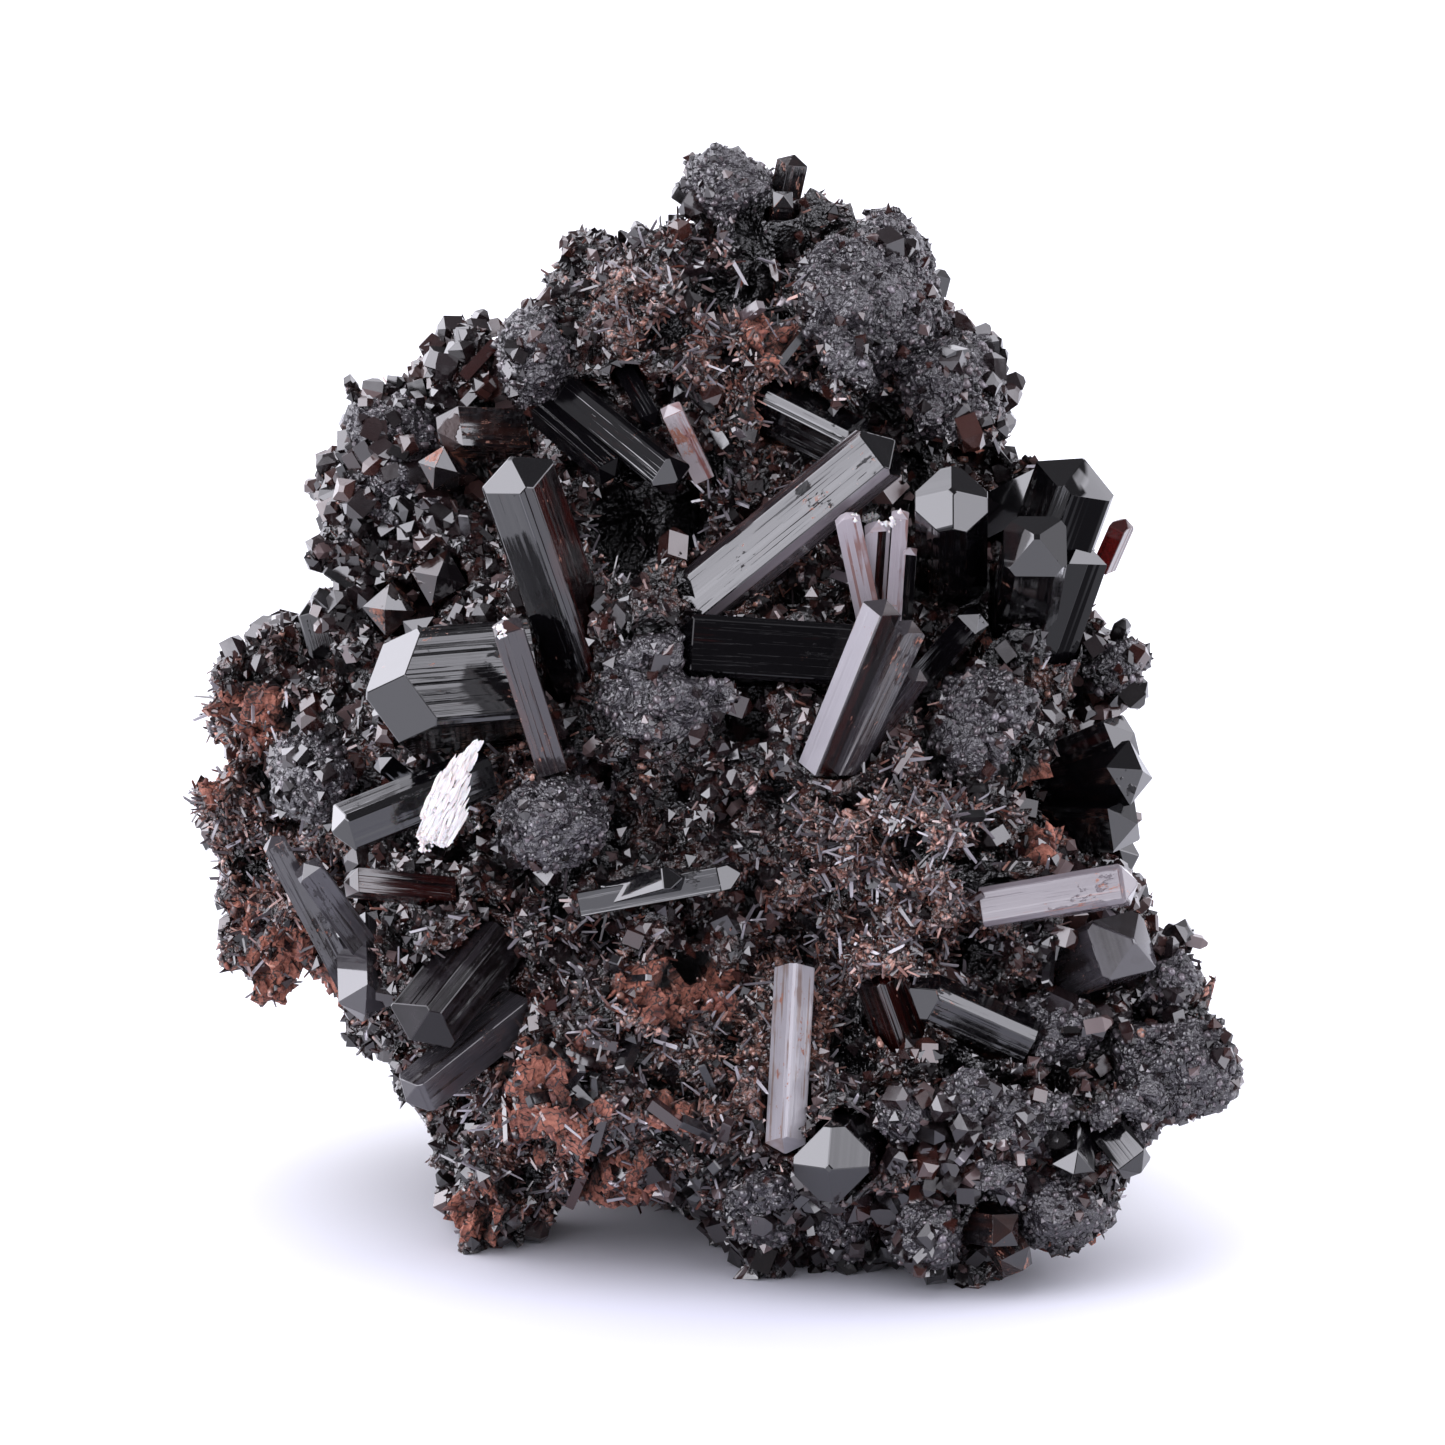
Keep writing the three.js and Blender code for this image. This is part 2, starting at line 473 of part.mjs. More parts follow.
function matrixSolid(floor) {
  let rock = joined([rockSolid(), ...KNOBS.map(knobSolid)]);
  const prisms = SMALL_PRISMS.map((prism, i) => ({ ...prism, seed: 500 + i, small: true }));
  const sprigs = MASSES.flatMap(sprigsOn);
  rock = joined([rock, ...[...prisms, ...sprigs].map((crystal) => crystalSolid(crystal))]);
  const seats = Object.values(PRISMS).flat();
  seats.forEach((crystal, i) => {
    rock = rock.subtract(crystalSolid({ ...crystal, seed: i + 1, small: !crystal.cut }, SEAT_GAP));
  });
  return largestBody(rock.subtract(splinterSolid(SEAT_GAP)).subtract(floor));
}

// The splinter's hull, grown outward from its middle by extra.
function splinterSolid(extra = 0) {
  const points = SPLINTER.map((p) => new THREE.Vector3(...p));
  const middle = points.reduce((sum, p) => sum.add(p), new THREE.Vector3()).divideScalar(points.length);
  for (const p of points) p.addScaledVector(p.clone().sub(middle).normalize(), extra * 1.6);
  return solidOf(new ConvexGeometry(points));
}

// Finishes
const vesuvianite = new THREE.MeshStandardMaterial({ color: 0x1d1a1f, roughness: 0.12, metalness: 0 });
const redVesuvianite = new THREE.MeshStandardMaterial({ color: 0x5c1510, roughness: 0.12, metalness: 0 });
const calcite = new THREE.MeshStandardMaterial({ color: 0xeee2e3, roughness: 0.6, metalness: 0 });
const rockFinish = new THREE.MeshStandardMaterial({ color: 0x3a2c2c, roughness: 0.7, metalness: 0 });

function piece(name, solid, material) {
  const mesh = new THREE.Mesh(geometryOf(solid), material);
  mesh.name = name;
  return mesh;
}

const specimen = new THREE.Group();
const floor = floorSolid();
specimen.add(piece("matrix", matrixSolid(floor), rockFinish));
let seed = 0;
for (const [name, crystals] of Object.entries(PRISMS)) {
  const solids = crystals.map((crystal) => crystalSolid({ ...crystal, seed: ++seed }));
  const finish = name === "red_shard" ? redVesuvianite : vesuvianite;
  specimen.add(piece(name, joined(solids).subtract(floor), finish));
}
specimen.add(piece("calcite_splinter", splinterSolid(), calcite));

// Stand the view's up axis upright, and bring the middle of the box over the origin.
specimen.rotation.x = THREE.MathUtils.degToRad(90 - VIEW_ELEVATION);
specimen.position.set(-CENTRE_ACROSS, -CENTRE_BACK, 0);
const stand = new THREE.Group();
stand.add(specimen);

export default stand;
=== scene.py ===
# %% [markdown]
# # A manganvesuvianite specimen
#
# The specimen is a rough dark rock with nearly black, glassy, square prisms standing in it. Three
# things make it look real: faces that are flat but finely ribbed, so that each one mirrors the
# studio in streaks; a rock that is a felt of tiny needles and grains rather than a smooth stone;
# and brown clay that shows between them.
#
# The solid model gives every large crystal and the rock's main masses. This script dresses them.

# %% Frame
import math
import random
from types import SimpleNamespace

import bmesh
import bpy
import numpy as np
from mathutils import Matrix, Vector, noise
from mathutils.bvhtree import BVHTree


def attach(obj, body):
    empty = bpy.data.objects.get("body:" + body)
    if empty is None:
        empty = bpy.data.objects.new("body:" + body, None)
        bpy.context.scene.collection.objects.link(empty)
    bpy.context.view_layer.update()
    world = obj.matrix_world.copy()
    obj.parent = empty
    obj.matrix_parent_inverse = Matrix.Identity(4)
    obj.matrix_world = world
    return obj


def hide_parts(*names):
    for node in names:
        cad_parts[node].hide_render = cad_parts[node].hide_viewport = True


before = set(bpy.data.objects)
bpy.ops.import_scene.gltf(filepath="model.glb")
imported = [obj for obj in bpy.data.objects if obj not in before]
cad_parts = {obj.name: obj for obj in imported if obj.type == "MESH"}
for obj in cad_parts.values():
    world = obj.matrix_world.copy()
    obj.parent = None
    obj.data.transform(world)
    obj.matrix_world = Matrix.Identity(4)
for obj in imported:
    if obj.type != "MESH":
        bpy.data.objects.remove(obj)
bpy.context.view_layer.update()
MM = 0.001
print("crystals and rock:", len(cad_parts))

# %% [markdown]
# The front of the specimen is described as the camera sees it, in millimetres: across to the
# right, up the view and toward the eye. The eye is 14 degrees above the table. One function turns
# such a point into the model's frame, and its inverse is used to find which part of the rock a
# vertex lies in.

# %% View frame
VIEW_ELEVATION = math.radians(14)
CENTRE_ACROSS = 0.2
CENTRE_BACK = 12.4
SINE, COSINE = math.sin(VIEW_ELEVATION), math.cos(VIEW_ELEVATION)


def place(across, up, toward):
    """A point of the front view, in mm, as a place in the model, in metres."""
    y = up * SINE - toward * COSINE - CENTRE_BACK
    z = up * COSINE + toward * SINE
    return Vector((across - CENTRE_ACROSS, y, z)) * MM


def seen_from_front(points):
    """Places in the model, in metres, as rows of across, up and toward, in mm."""
    x, y, z = (np.asarray(points) / MM).T
    y = y + CENTRE_BACK
    return np.stack([x + CENTRE_ACROSS, y * SINE + z * COSINE, z * SINE - y * COSINE], axis=1)


print("the view's origin is at", place(0, 0, 0))

# %% [markdown]
# The photograph was taken from some way off with a long lens, so the perspective is slight. The
# camera looks along the view's own axis, at the middle of the picture.

# %% Camera
FIELD = 65.7  # mm across the picture, at the specimen
LENS, SENSOR = 400, 36  # mm
LOOK_AT = (0.6, 24.5)  # the middle of the picture, across and up
NEAREST, FARTHEST = 0.01, 20  # metres


def linked(name, data):
    """A new object with this data, in the scene."""
    item = bpy.data.objects.new(name, data)
    bpy.context.scene.collection.objects.link(item)
    return item


camera_data = bpy.data.cameras.new("camera")
camera_data.lens, camera_data.sensor_width = LENS, SENSOR
camera_data.clip_start, camera_data.clip_end = NEAREST, FARTHEST
camera = linked("camera", camera_data)
camera.location = place(*LOOK_AT, FIELD * LENS / SENSOR)
camera.rotation_euler = (math.pi / 2 - VIEW_ELEVATION, 0, 0)
bpy.context.scene.camera = camera
print("camera, metres from the origin:", round(camera.location.length, 3))

# %% [markdown]
# A few helpers carry all the materials and node trees below. Colours are written as the usual sRGB
# hex values and turned to the linear values that the shaders work in.

# %% Node helpers
NOISE, MATH, RANGE = "ShaderNodeTexNoise", "ShaderNodeMath", "ShaderNodeMapRange"
ATTRIBUTE, BUMP = "ShaderNodeAttribute", "ShaderNodeBump"
COORDINATES, VECTOR_MATH = "ShaderNodeTexCoord", "ShaderNodeVectorMath"


def linear(hex_colour):
    """An sRGB colour such as '#8a4b3c' as linear red, green, blue and alpha."""
    channels = [int(hex_colour[i : i + 2], 16) / 255 for i in (1, 3, 5)]
    curved = [c / 12.92 if c <= 0.04045 else ((c + 0.055) / 1.055) ** 2.4 for c in channels]
    return (*curved, 1.0)


def set_inputs(tree, node, inputs):
    """Sets a node's inputs, or links them where the value is a socket or a node."""
    for name, value in inputs.items():
        if isinstance(value, bpy.types.Node):
            value = value.outputs[0]
        if isinstance(value, bpy.types.NodeSocket):
            tree.links.new(value, node.inputs[name])
        else:
            node.inputs[name].default_value = value


def add(tree, kind, inputs=None, **settings):
    """Adds a node with its settings and its inputs."""
    node = tree.nodes.new(kind)
    for name, value in settings.items():
        setattr(node, name, value)
    set_inputs(tree, node, inputs or {})
    return node


def new_material(name):
    """A material with an empty node tree, its Principled shader and its output."""
    material = bpy.data.materials.new(name)
    material.use_nodes = True
    tree = material.node_tree
    tree.nodes.clear()
    shader = add(tree, "ShaderNodeBsdfPrincipled")
    add(tree, "ShaderNodeOutputMaterial", {"Surface": shader.outputs[0]})
    return material, tree, shader


# %% [markdown]
# Two sums come back in every material: one colour that changes to another as a pattern rises, and
# a weighted sum of patterns.

# %% Mixing helpers


def ramp(tree, value, low, high, dark, light):
    """Goes from one colour to another as a value goes from low to high.

    A colour is a hex value or a socket.
    """
    amount = add(tree, RANGE, {0: value, 1: low, 2: high})
    mix = add(tree, "ShaderNodeMix", {0: amount}, data_type="RGBA")
    for socket, colour in ((6, dark), (7, light)):
        set_inputs(tree, mix, {socket: linear(colour) if isinstance(colour, str) else colour})
    return mix.outputs[2]


def weigh(tree, *parts, start=0.0):
    """The sum of several values, each times its weight, plus a start."""
    total = start
    for value, weight in parts:
        total = add(tree, MATH, {0: value, 1: weight, 2: total}, operation="MULTIPLY_ADD")
    return total


print("dark red as linear values:", [round(c, 4) for c in linear("#4c0f0d")])

# %% [markdown]
# ## The crystals' finish
#
# Manganvesuvianite is a silicate with a vitreous lustre and a refractive index of about 1.72. It
# is so dark a red that it looks black except in thin slivers. Its prism faces are ribbed along
# their length by uneven growth. The coarse ribs are cut into the mesh. The fine ones, about 0.1 mm
# apart, are a bump that follows the attribute "grain": across the face, along the crystal, and a
# number for the face. Brown dust, chips and thin lines that mirror more or less than the face come
# from the same grain. A Scale of 3.6 / MM gives a pattern 3.6 changes in a millimetre.

# %% Patterns on a face
VESUVIANITE_IOR = 1.72


def drawn_out(tree, grain, across, along, detail, roughness=0.6):
    """Noise drawn out along the crystal. across and along say how often it changes, per mm."""
    at = add(tree, VECTOR_MATH, {0: grain, 1: (across, along, 5)}, operation="MULTIPLY")
    looks = {"Vector": at, "Scale": 1, "Detail": detail, "Roughness": roughness}
    return add(tree, NOISE, looks)


def face_patterns(tree):
    """The patterns of a crystal's face. Most follow its grain, and two lie in the whole rock."""
    grain = add(tree, ATTRIBUTE, attribute_name="grain").outputs["Vector"]
    at = add(tree, COORDINATES).outputs["Object"]
    cloud = {"Vector": at, "Scale": 0.42 / MM, "Detail": 4, "Roughness": 0.6}
    crumbs = {"Vector": at, "Scale": 3.6 / MM, "Detail": 3, "Roughness": 0.7}
    return SimpleNamespace(
        ribs=drawn_out(tree, grain, 11, 0.1, 3),
        scratches=drawn_out(tree, grain, 9, 0.09, 3, 0.7),
        streaks=drawn_out(tree, grain, 3, 0.22, 5, 0.7),
        stripes=drawn_out(tree, grain, 1.7, 0.12, 3, 0.55),
        flecks=drawn_out(tree, grain, 2.6, 1.1, 5, 0.75),
        cloud=add(tree, NOISE, cloud),
        crumbs=add(tree, NOISE, crumbs),
        breaks=drawn_out(tree, grain, 1.1, 0.3, 6, 0.75),
    )


# %% [markdown]
# One function makes every finish of the large crystals. The plain look is listed first, and each
# finish changes a few of its values. A face is chipped, dusty, streaked, striped or lined where a
# pattern rises above a level, and that level falls as the share of it grows.

# %% Vesuvianite
PLAIN = {
    "body": "#070608",  # the colour of a face
    "deep": "#1a090a",  # the colour of its stripes
    "red": 0.1,  # the share of the stripes, from 0 to 1
    "streak": 0.2,  # the share of dull streaks
    "clay": 0.05,  # the share under brown dust
    "chips": 0.06,  # the share that is chipped
    "shine": 0.5,  # the face's own reflection
    "line": 0.04,  # the reflection of its thin lines
    "lines": 0.2,  # how many thin lines there are
}
DUST = "#8f5f4f"
POLISHED, DULL, CHIPPED, DUSTY = 0.06, 0.3, 0.36, 0.7  # roughness


def vesuvianite(name, **changes):
    """Grown vesuvianite, with the plain look but for these changes."""
    look = SimpleNamespace(**{**PLAIN, **changes})
    material, tree, shader = new_material(name)
    on = face_patterns(tree)
    chipped = weigh(tree, (on.cloud, 0.9), (on.breaks, 1))
    chipped = add(tree, RANGE, {0: chipped, 1: 1.2 - look.chips, 2: 1.22 - look.chips})
    clayey = weigh(tree, (on.flecks, 0.9), (on.crumbs, 0.3), (on.cloud, 0.5))
    clayey = add(tree, RANGE, {0: clayey, 1: 1.12 - look.clay, 2: 1.16 - look.clay})
    low, high = 0.66 - 0.3 * look.streak, 0.84 - 0.3 * look.streak
    dull = add(tree, RANGE, {0: on.streaks, 1: low, 2: high, 3: POLISHED, 4: DULL})
    for cover, roughness in ((chipped, CHIPPED), (clayey, DUSTY)):
        covered = weigh(tree, (cover, roughness))
        dull = add(tree, MATH, {0: dull, 1: covered}, operation="MAXIMUM")
    reddened = weigh(tree, (on.stripes, 0.7), (on.cloud, 0.3))
    low, high = 0.64 - 0.36 * look.red, 0.7 - 0.36 * look.red
    colour = ramp(tree, reddened, low, high, look.body, look.deep)
    colour = ramp(tree, clayey, 0, 1, colour, DUST)
    low, high = 0.72 - 0.26 * look.lines, 0.74 - 0.26 * look.lines
    cut = add(tree, RANGE, {0: on.scratches, 1: low, 2: high})
    lost = add(tree, MATH, {0: cut, 1: weigh(tree, (chipped, 0.7))}, operation="MAXIMUM")
    level = add(tree, RANGE, {0: lost, 3: look.shine, 4: look.line})
    crumbly = add(tree, MATH, {0: chipped, 1: on.crumbs}, operation="MULTIPLY")
    height = weigh(tree, (on.ribs, 0.2 + 0.9 * look.streak), (crumbly, 6), (cut, -0.6))
    bump = add(tree, BUMP, {"Height": height, "Strength": 0.6, "Distance": 0.02 * MM})
    reflection = {"Specular IOR Level": level, "Normal": bump, "IOR": VESUVIANITE_IOR}
    set_inputs(tree, shader, {"Base Color": colour, "Roughness": dull, **reflection})
    return material


# %% [markdown]
# The photograph shows nearly black faces beside grey, rosy and brown ones. The pale ones aren't
# another mineral: a film of clay turns some faces grey, and the grey body of the silky, steely and
# slate looks is a painted sheen, standing for faces whose fine ribs catch the light.

# %% Finishes of the crystals
LOOKS = {
    "black": dict(),
    "flecked": dict(clay=0.13, chips=0.11, lines=0.45),
    "greyed": dict(
        body="#242023", deep="#0f0b0c", red=0.5, streak=0.4, shine=0.25, line=0.6, lines=0.45
    ),
    "dusty": dict(body="#141113", deep="#2b1916", red=0.4, clay=0.16, chips=0.16),
    # A painted sheen: the grey body stands for fine ribs that catch the light.
    "silky_sheen": dict(
        body="#6f686d", deep="#7a5753", red=0.2, streak=0.4, clay=0.13, chips=0.1, lines=0.4
    ),
    # A painted sheen: the light grey body stands for a face that catches the light.
    "steely_sheen": dict(
        body="#a19da2", deep="#857570", red=0.3, streak=0.5, clay=0.15, shine=0.2, line=0, lines=0.6
    ),
    # Partly a painted sheen: the grey body lifts faces that catch the light.
    "slate_sheen": dict(
        body="#3a373b", deep="#221d1e", red=0.3, streak=0.5, clay=0.1, chips=0.1, lines=0.5
    ),
    "ruddy": dict(body="#292427", deep="#3d2a28", red=0.4, streak=0.4, clay=0.15, lines=0.5),
    "pale": dict(body="#a8a0a6", deep="#8d6f6c", red=0.3, streak=0.4, clay=0.1, lines=0.6),
    "banded": dict(body="#2e2a2e", deep="#1c0807", red=0.4, streak=0.8, clay=0.1, lines=0.6),
    "fluted": dict(streak=0.6, clay=0.08, shine=0.02, line=0.45, lines=0.5),
    "shaded": dict(streak=0.15, clay=0.04, shine=0.12, line=0.02, lines=0.5),
    "rosy": dict(body="#9c9395", deep="#7a4e4a", red=0.4, streak=0.5, clay=0.14, lines=0.6),
    "wine": dict(body="#0b0506", deep="#270b09", red=0.46, streak=0.5, clay=0.12, lines=0.6),
}
grown = {kind: vesuvianite("vesuvianite_" + kind, **look) for kind, look in LOOKS.items()}
print("finishes:", ", ".join(grown))

# %% [markdown]
# The thin shard at the right edge lets light through. Red glass shows how deep the colour of the
# clear crystal is.

# %% Red vesuvianite
grown["clear_red"], tree, shader = new_material("vesuvianite_clear_red")
clear = {"Transmission Weight": 0.6, "Roughness": 0.1, "IOR": VESUVIANITE_IOR}
set_inputs(tree, shader, {"Base Color": linear("#4c0f0d"), **clear})

# %% [markdown]
# ## The large crystals
#
# Each node's mesh is copied, its loose triangles merged and its flat faces made whole again. Real
# edges are never razor sharp, so they get a chamfer of a few hundredths of a millimetre, which
# catches the light. Then every long face is cut into strips along the crystal, and the cuts are
# pushed in by a few microns to a few hundredths of a millimetre. The strips lean a little, so each
# mirrors another part of the studio, as the real ribs do.

# %% Ribs
RIB = 0.16 * MM  # between the coarse ribs, on average
RIB_DEPTH = 0.02  # mm, at the most
NARROWEST = 0.05 * MM  # what is left of a face at its edge
WELD = 1.5e-6
CUT_DISTANCE = 1e-7
FLAT = math.radians(0.8)


def face_axes(face):
    """The direction of a face's longest edge, the one across it, and the face's extent on both."""
    edge = max(face.edges, key=lambda e: e.calc_length())
    along = (edge.verts[1].co - edge.verts[0].co).normalized()
    across = face.normal.cross(along).normalized()
    spread = [[v.co.dot(axis) for v in face.verts] for axis in (across, along)]
    return along, across, [(min(s), max(s)) for s in spread]


def rib_face(bm, face, chance):
    """Cuts a face into strips along its length and pushes the cuts in unevenly."""
    _, across, ((low, high), _) = face_axes(face)
    inward = -face.normal.copy()
    geometry = [face, *face.edges, *face.verts]
    where = low + RIB * chance.uniform(0.4, 1.2)
    pushed = {}
    while where < high - NARROWEST:
        plane = {"plane_co": across * where, "plane_no": across}
        cut = bmesh.ops.bisect_plane(bm, geom=geometry, dist=CUT_DISTANCE, **plane)
        geometry = cut["geom"]
        push = chance.choice((0, 0.2, 0.5, 1)) * chance.uniform(0.3, 1) * RIB_DEPTH * MM
        for item in cut["geom_cut"]:
            if isinstance(item, bmesh.types.BMVert):
                pushed[item] = inward * push
        where += RIB * chance.choice((0.5, 0.8, 1, 1.6, 2.4))
    for vert, shift in pushed.items():
        if vert.is_valid:
            vert.co += shift


def whole_faces(node_name):
    """A node's mesh with its triangles merged and its flat faces whole."""
    bm = bmesh.new()
    bm.from_mesh(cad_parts[node_name].data)
    bmesh.ops.remove_doubles(bm, verts=bm.verts, dist=WELD)
    bmesh.ops.dissolve_limit(bm, angle_limit=FLAT, verts=bm.verts, edges=bm.edges)
    return bm


# %% [markdown]
# The end faces of a prism lie across its axis. They have no ribs, and their grain is calm, so that
# they mirror the studio evenly.

# %% Crystal mesh
CHAMFER = 0.035 * MM
END_TILT = 0.25  # how far a face leans along its prism before it counts as an end
SHARP = 0.2  # radians between the faces of an edge that gets a chamfer
RIBBED_AREA = 0.5 * MM * MM  # the smallest face that gets ribs
CALM = 0.06  # the grain's scale on end faces


def crystal_axis(face):
    """The longest edge of a face and its neighbours, which runs along the prism."""
    edges = {edge for own in face.edges for near in own.link_faces for edge in near.edges}
    edge = max(edges, key=lambda e: e.calc_length())
    return (edge.verts[1].co - edge.verts[0].co).normalized()


def store_grain(bm, is_end):
    """Gives every corner its place across and along its face, and a number for the face."""
    grain = bm.loops.layers.float_vector.new("grain")
    for face in bm.faces:
        along, across, _ = face_axes(face)
        if along.z < 0:
            along, across = -along, -across
        number = round(face.normal.x * 4) + round(face.normal.y * 4) * 3
        scale = CALM if face[is_end] else 1.0
        for loop in face.loops:
            co = loop.vert.co
            loop[grain] = (co.dot(across) / MM * scale, co.dot(along) / MM * scale, number)


def to_mesh(bm, name):
    """Turns a BMesh into a mesh of this name."""
    mesh = bpy.data.meshes.new(name)
    bm.to_mesh(mesh)
    bm.free()
    return mesh


def crystal_mesh(node_name, seed):
    """A crystal with chamfered edges, ribbed long faces and the grain attribute."""
    chance = random.Random(seed)
    bm = whole_faces(node_name)
    is_end = bm.faces.layers.float.new("is_end")
    for face in bm.faces:
        face[is_end] = 1.0 if abs(face.normal.dot(crystal_axis(face))) > END_TILT else 0.0
    sharp = [e for e in bm.edges if e.is_manifold and e.is_convex and e.calc_face_angle() > SHARP]
    bevel = {"offset": CHAMFER, "segments": 1, "affect": "EDGES", "clamp_overlap": True}
    bmesh.ops.bevel(bm, geom=sharp, **bevel)
    bm.normal_update()
    for face in [f for f in bm.faces if f.calc_area() > RIBBED_AREA and not f[is_end]]:
        rib_face(bm, face, chance)
    bm.normal_update()
    store_grain(bm, is_end)
    bm.faces.layers.float.remove(is_end)
    return to_mesh(bm, node_name + "_grown")


# %% [markdown]
# Each crystal wears the finish that the photograph shows, and the others are black. A few have one
# face that differs from the rest, and that face is found by its place in the front view.

# %% Who wears what
FINISHES = {
    "long_prism": "flecked",
    "stout_left_prism": "flecked",
    "grey_slab": "flecked",
    "leaning_left_prism": "ruddy",
    "lower_left_stout": "greyed",
    "lower_left_bar": "slate_sheen",
    "striated_fan": "fluted",
    "buried_prism": "shaded",
    "vertical_bar": "steely_sheen",
    "twin_prisms": "banded",
    "right_striated_prism": "silky_sheen",
    "left_edge_prisms": "slate_sheen",
    "right_blunt_prism": "slate_sheen",
    "left_wall_cluster": "dusty",
    "left_wall_prism": "dusty",
    "summit_prisms": "dusty",
    "bottom_prisms": "dusty",
    "upright_blades": "pale",
    "pink_prism": "rosy",
    "dark_red_prism": "wine",
    "leaning_red_prism": "wine",
    "red_shard": "clear_red",
}
# Faces near these places, as (across, up, reach), in mm, have another finish than the rest.
ACCENTS = {
    # The silky faces of the long prism carry a painted sheen.
    "long_prism": (
        (3.05, 31.42, 0.45, "silky_sheen"),
        (3.71, 32.43, 0.3, "silky_sheen"),
        (1.28, 33.33, 0.22, "ruddy"),
        (2.46, 34.14, 0.2, "ruddy"),
    ),
    # The steely face of the twins carries a painted sheen.
    "twin_prisms": ((5.6, 26.1, 0.75, "steely_sheen"), (6.75, 25.8, 0.45, "wine")),
    # The blades' face near (9.1, 30.6) takes the black finish as a painted shade.
    "upright_blades": ((7.75, 31.6, 0.5, "wine"), (9.1, 30.6, 0.5, "black")),
    "upper_left_prism": ((-5.6, 31.0, 1.4, "wine"),),
    "striated_fan": ((-2.2, 35.7, 0.6, "black"),),
    "right_top_prisms": ((16.2, 28.7, 1.7, "shaded"), (16.2, 32.0, 1.0, "shaded")),
}
crystal_names = [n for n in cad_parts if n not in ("matrix", "calcite_splinter")]
print("black crystals:", len(crystal_names) - len(FINISHES))

# %% [markdown]
# Every crystal is grown in the order of its name, with its own seed, and kept in the place of its
# solid.

# %% Grow the crystals


def accent(mesh, places):
    """Gives the faces whose middle is near one of the places that place's finish."""
    middles = seen_from_front([p.center for p in mesh.polygons])
    for slot, (across, up, reach, finish) in enumerate(places, 1):
        mesh.materials.append(grown[finish])
        near = np.hypot(middles[:, 0] - across, middles[:, 1] - up) < reach
        for index in np.flatnonzero(near):
            mesh.polygons[int(index)].material_index = slot


def keep(mesh, name, slot, *nodes):
    """Makes a mesh a piece of the specimen that stands for these CAD nodes."""
    piece = linked(name, mesh)
    if nodes:
        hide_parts(*nodes)
    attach(piece, "root")
    return piece


for number, name in enumerate(sorted(crystal_names)):
    mesh = crystal_mesh(name, number)
    mesh.materials.append(grown[FINISHES.get(name, "black")])
    accent(mesh, ACCENTS.get(name, ()))
    slot = "red_vesuvianite" if name == "red_shard" else "vesuvianite"
    keep(mesh, name + "_grown", slot, name)
print("crystals:", len(crystal_names))

# %% [markdown]
# ## The rock
#
# The rock's solid has broad facets and sockets for the crystals. A copy is pushed out by the width
# of the gap, so that it closes on the crystals, and turned into an even skin of small quads by a
# voxel remesh. That skin can then carry relief at every size.

# %% Rock skin
VOXEL = 0.34 * MM
SEAT_GAP = 0.3 * MM


def evaluated(item):
    """The plain mesh that an object's modifiers make of it."""
    depsgraph = bpy.context.evaluated_depsgraph_get()
    return bpy.data.meshes.new_from_object(item.evaluated_get(depsgraph))


def rock_skin():
    """The rock as an even skin of small quads."""
    bm = whole_faces("matrix")
    bmesh.ops.triangulate(bm, faces=bm.faces)
    start = linked("rock_start", to_mesh(bm, "rock_start"))
    swell = start.modifiers.new("swell", "DISPLACE")
    swell.strength, swell.mid_level = SEAT_GAP, 0
    remesh = start.modifiers.new("remesh", "REMESH")
    remesh.mode, remesh.voxel_size = "VOXEL", VOXEL
    skin = evaluated(start)
    bpy.data.objects.remove(start)
    skin.name = "rock_skin"
    return skin


skin = rock_skin()
print("rock skin, faces:", len(skin.polygons))

# %% [markdown]
# Different parts of the rock look different. Round knobs are covered with a druse of tiny dark
# grains that glitter grey; clay shows as red-brown earth; needles make a felt, some of it rusty;
# small blocky crystals cover the walls; and some recesses are pushed in, with a painted shade
# that makes them black. The patches that the photograph shows are listed, as (across, up, half
# width, half height) in millimetres. On the back, slow noise decides.

# %% Patches
DRUSE = (
    (8.0, 43.7, 4.3, 4.5), (-7.0, 20.1, 2.7, 2.5), (-2.0, 26.0, 3.4, 2.6), (12.5, 24.6, 2.5, 2.6),
    (15.7, 11.0, 2.6, 1.5), (14.4, 6.5, 2.6, 1.9), (21.2, 8.9, 3.0, 2.7), (15.7, 2.4, 2.2, 2.0),
    (8.7, 6.9, 1.5, 1.5), (-8.0, 41.0, 1.6, 2.8), (-18.1, 22.1, 2.0, 2.6), (1.0, 49.0, 2.4, 1.8),
    (18.5, 26.9, 1.4, 1.5), (-14.5, 36.5, 2.4, 3.4), (11.4, 40.4, 3.2, 3.4), (2.3, 2.4, 1.9, 1.9),
    (9.8, 1.4, 2.0, 1.7), (5.8, 1.0, 1.4, 1.3), (12.9, 3.9, 1.2, 1.3), (20.9, 12.8, 1.4, 1.2),
    (18.6, 6.4, 1.5, 1.6), (11.6, 7.6, 1.3, 1.6),
)
CLAY = (
    (-7.2, 7.4, 2.4, 2.8), (-1.3, 12.4, 2.4, 1.5), (-1.5, 6.9, 1.3, 1.1), (-20.9, 25.1, 1.2, 1.5),
    (-23.0, 22.4, 1.2, 1.6), (-19.3, 13.3, 2.2, 1.6), (-17.4, 12.4, 1.2, 0.9),
    (-21.6, 15.6, 0.8, 1.0), (-10.4, 2.1, 1.2, 1.3), (-4.3, 3.3, 2.0, 1.5), (3.0, 42.4, 1.4, 1.5),
    (15.0, 19.0, 0.8, 0.8),
)
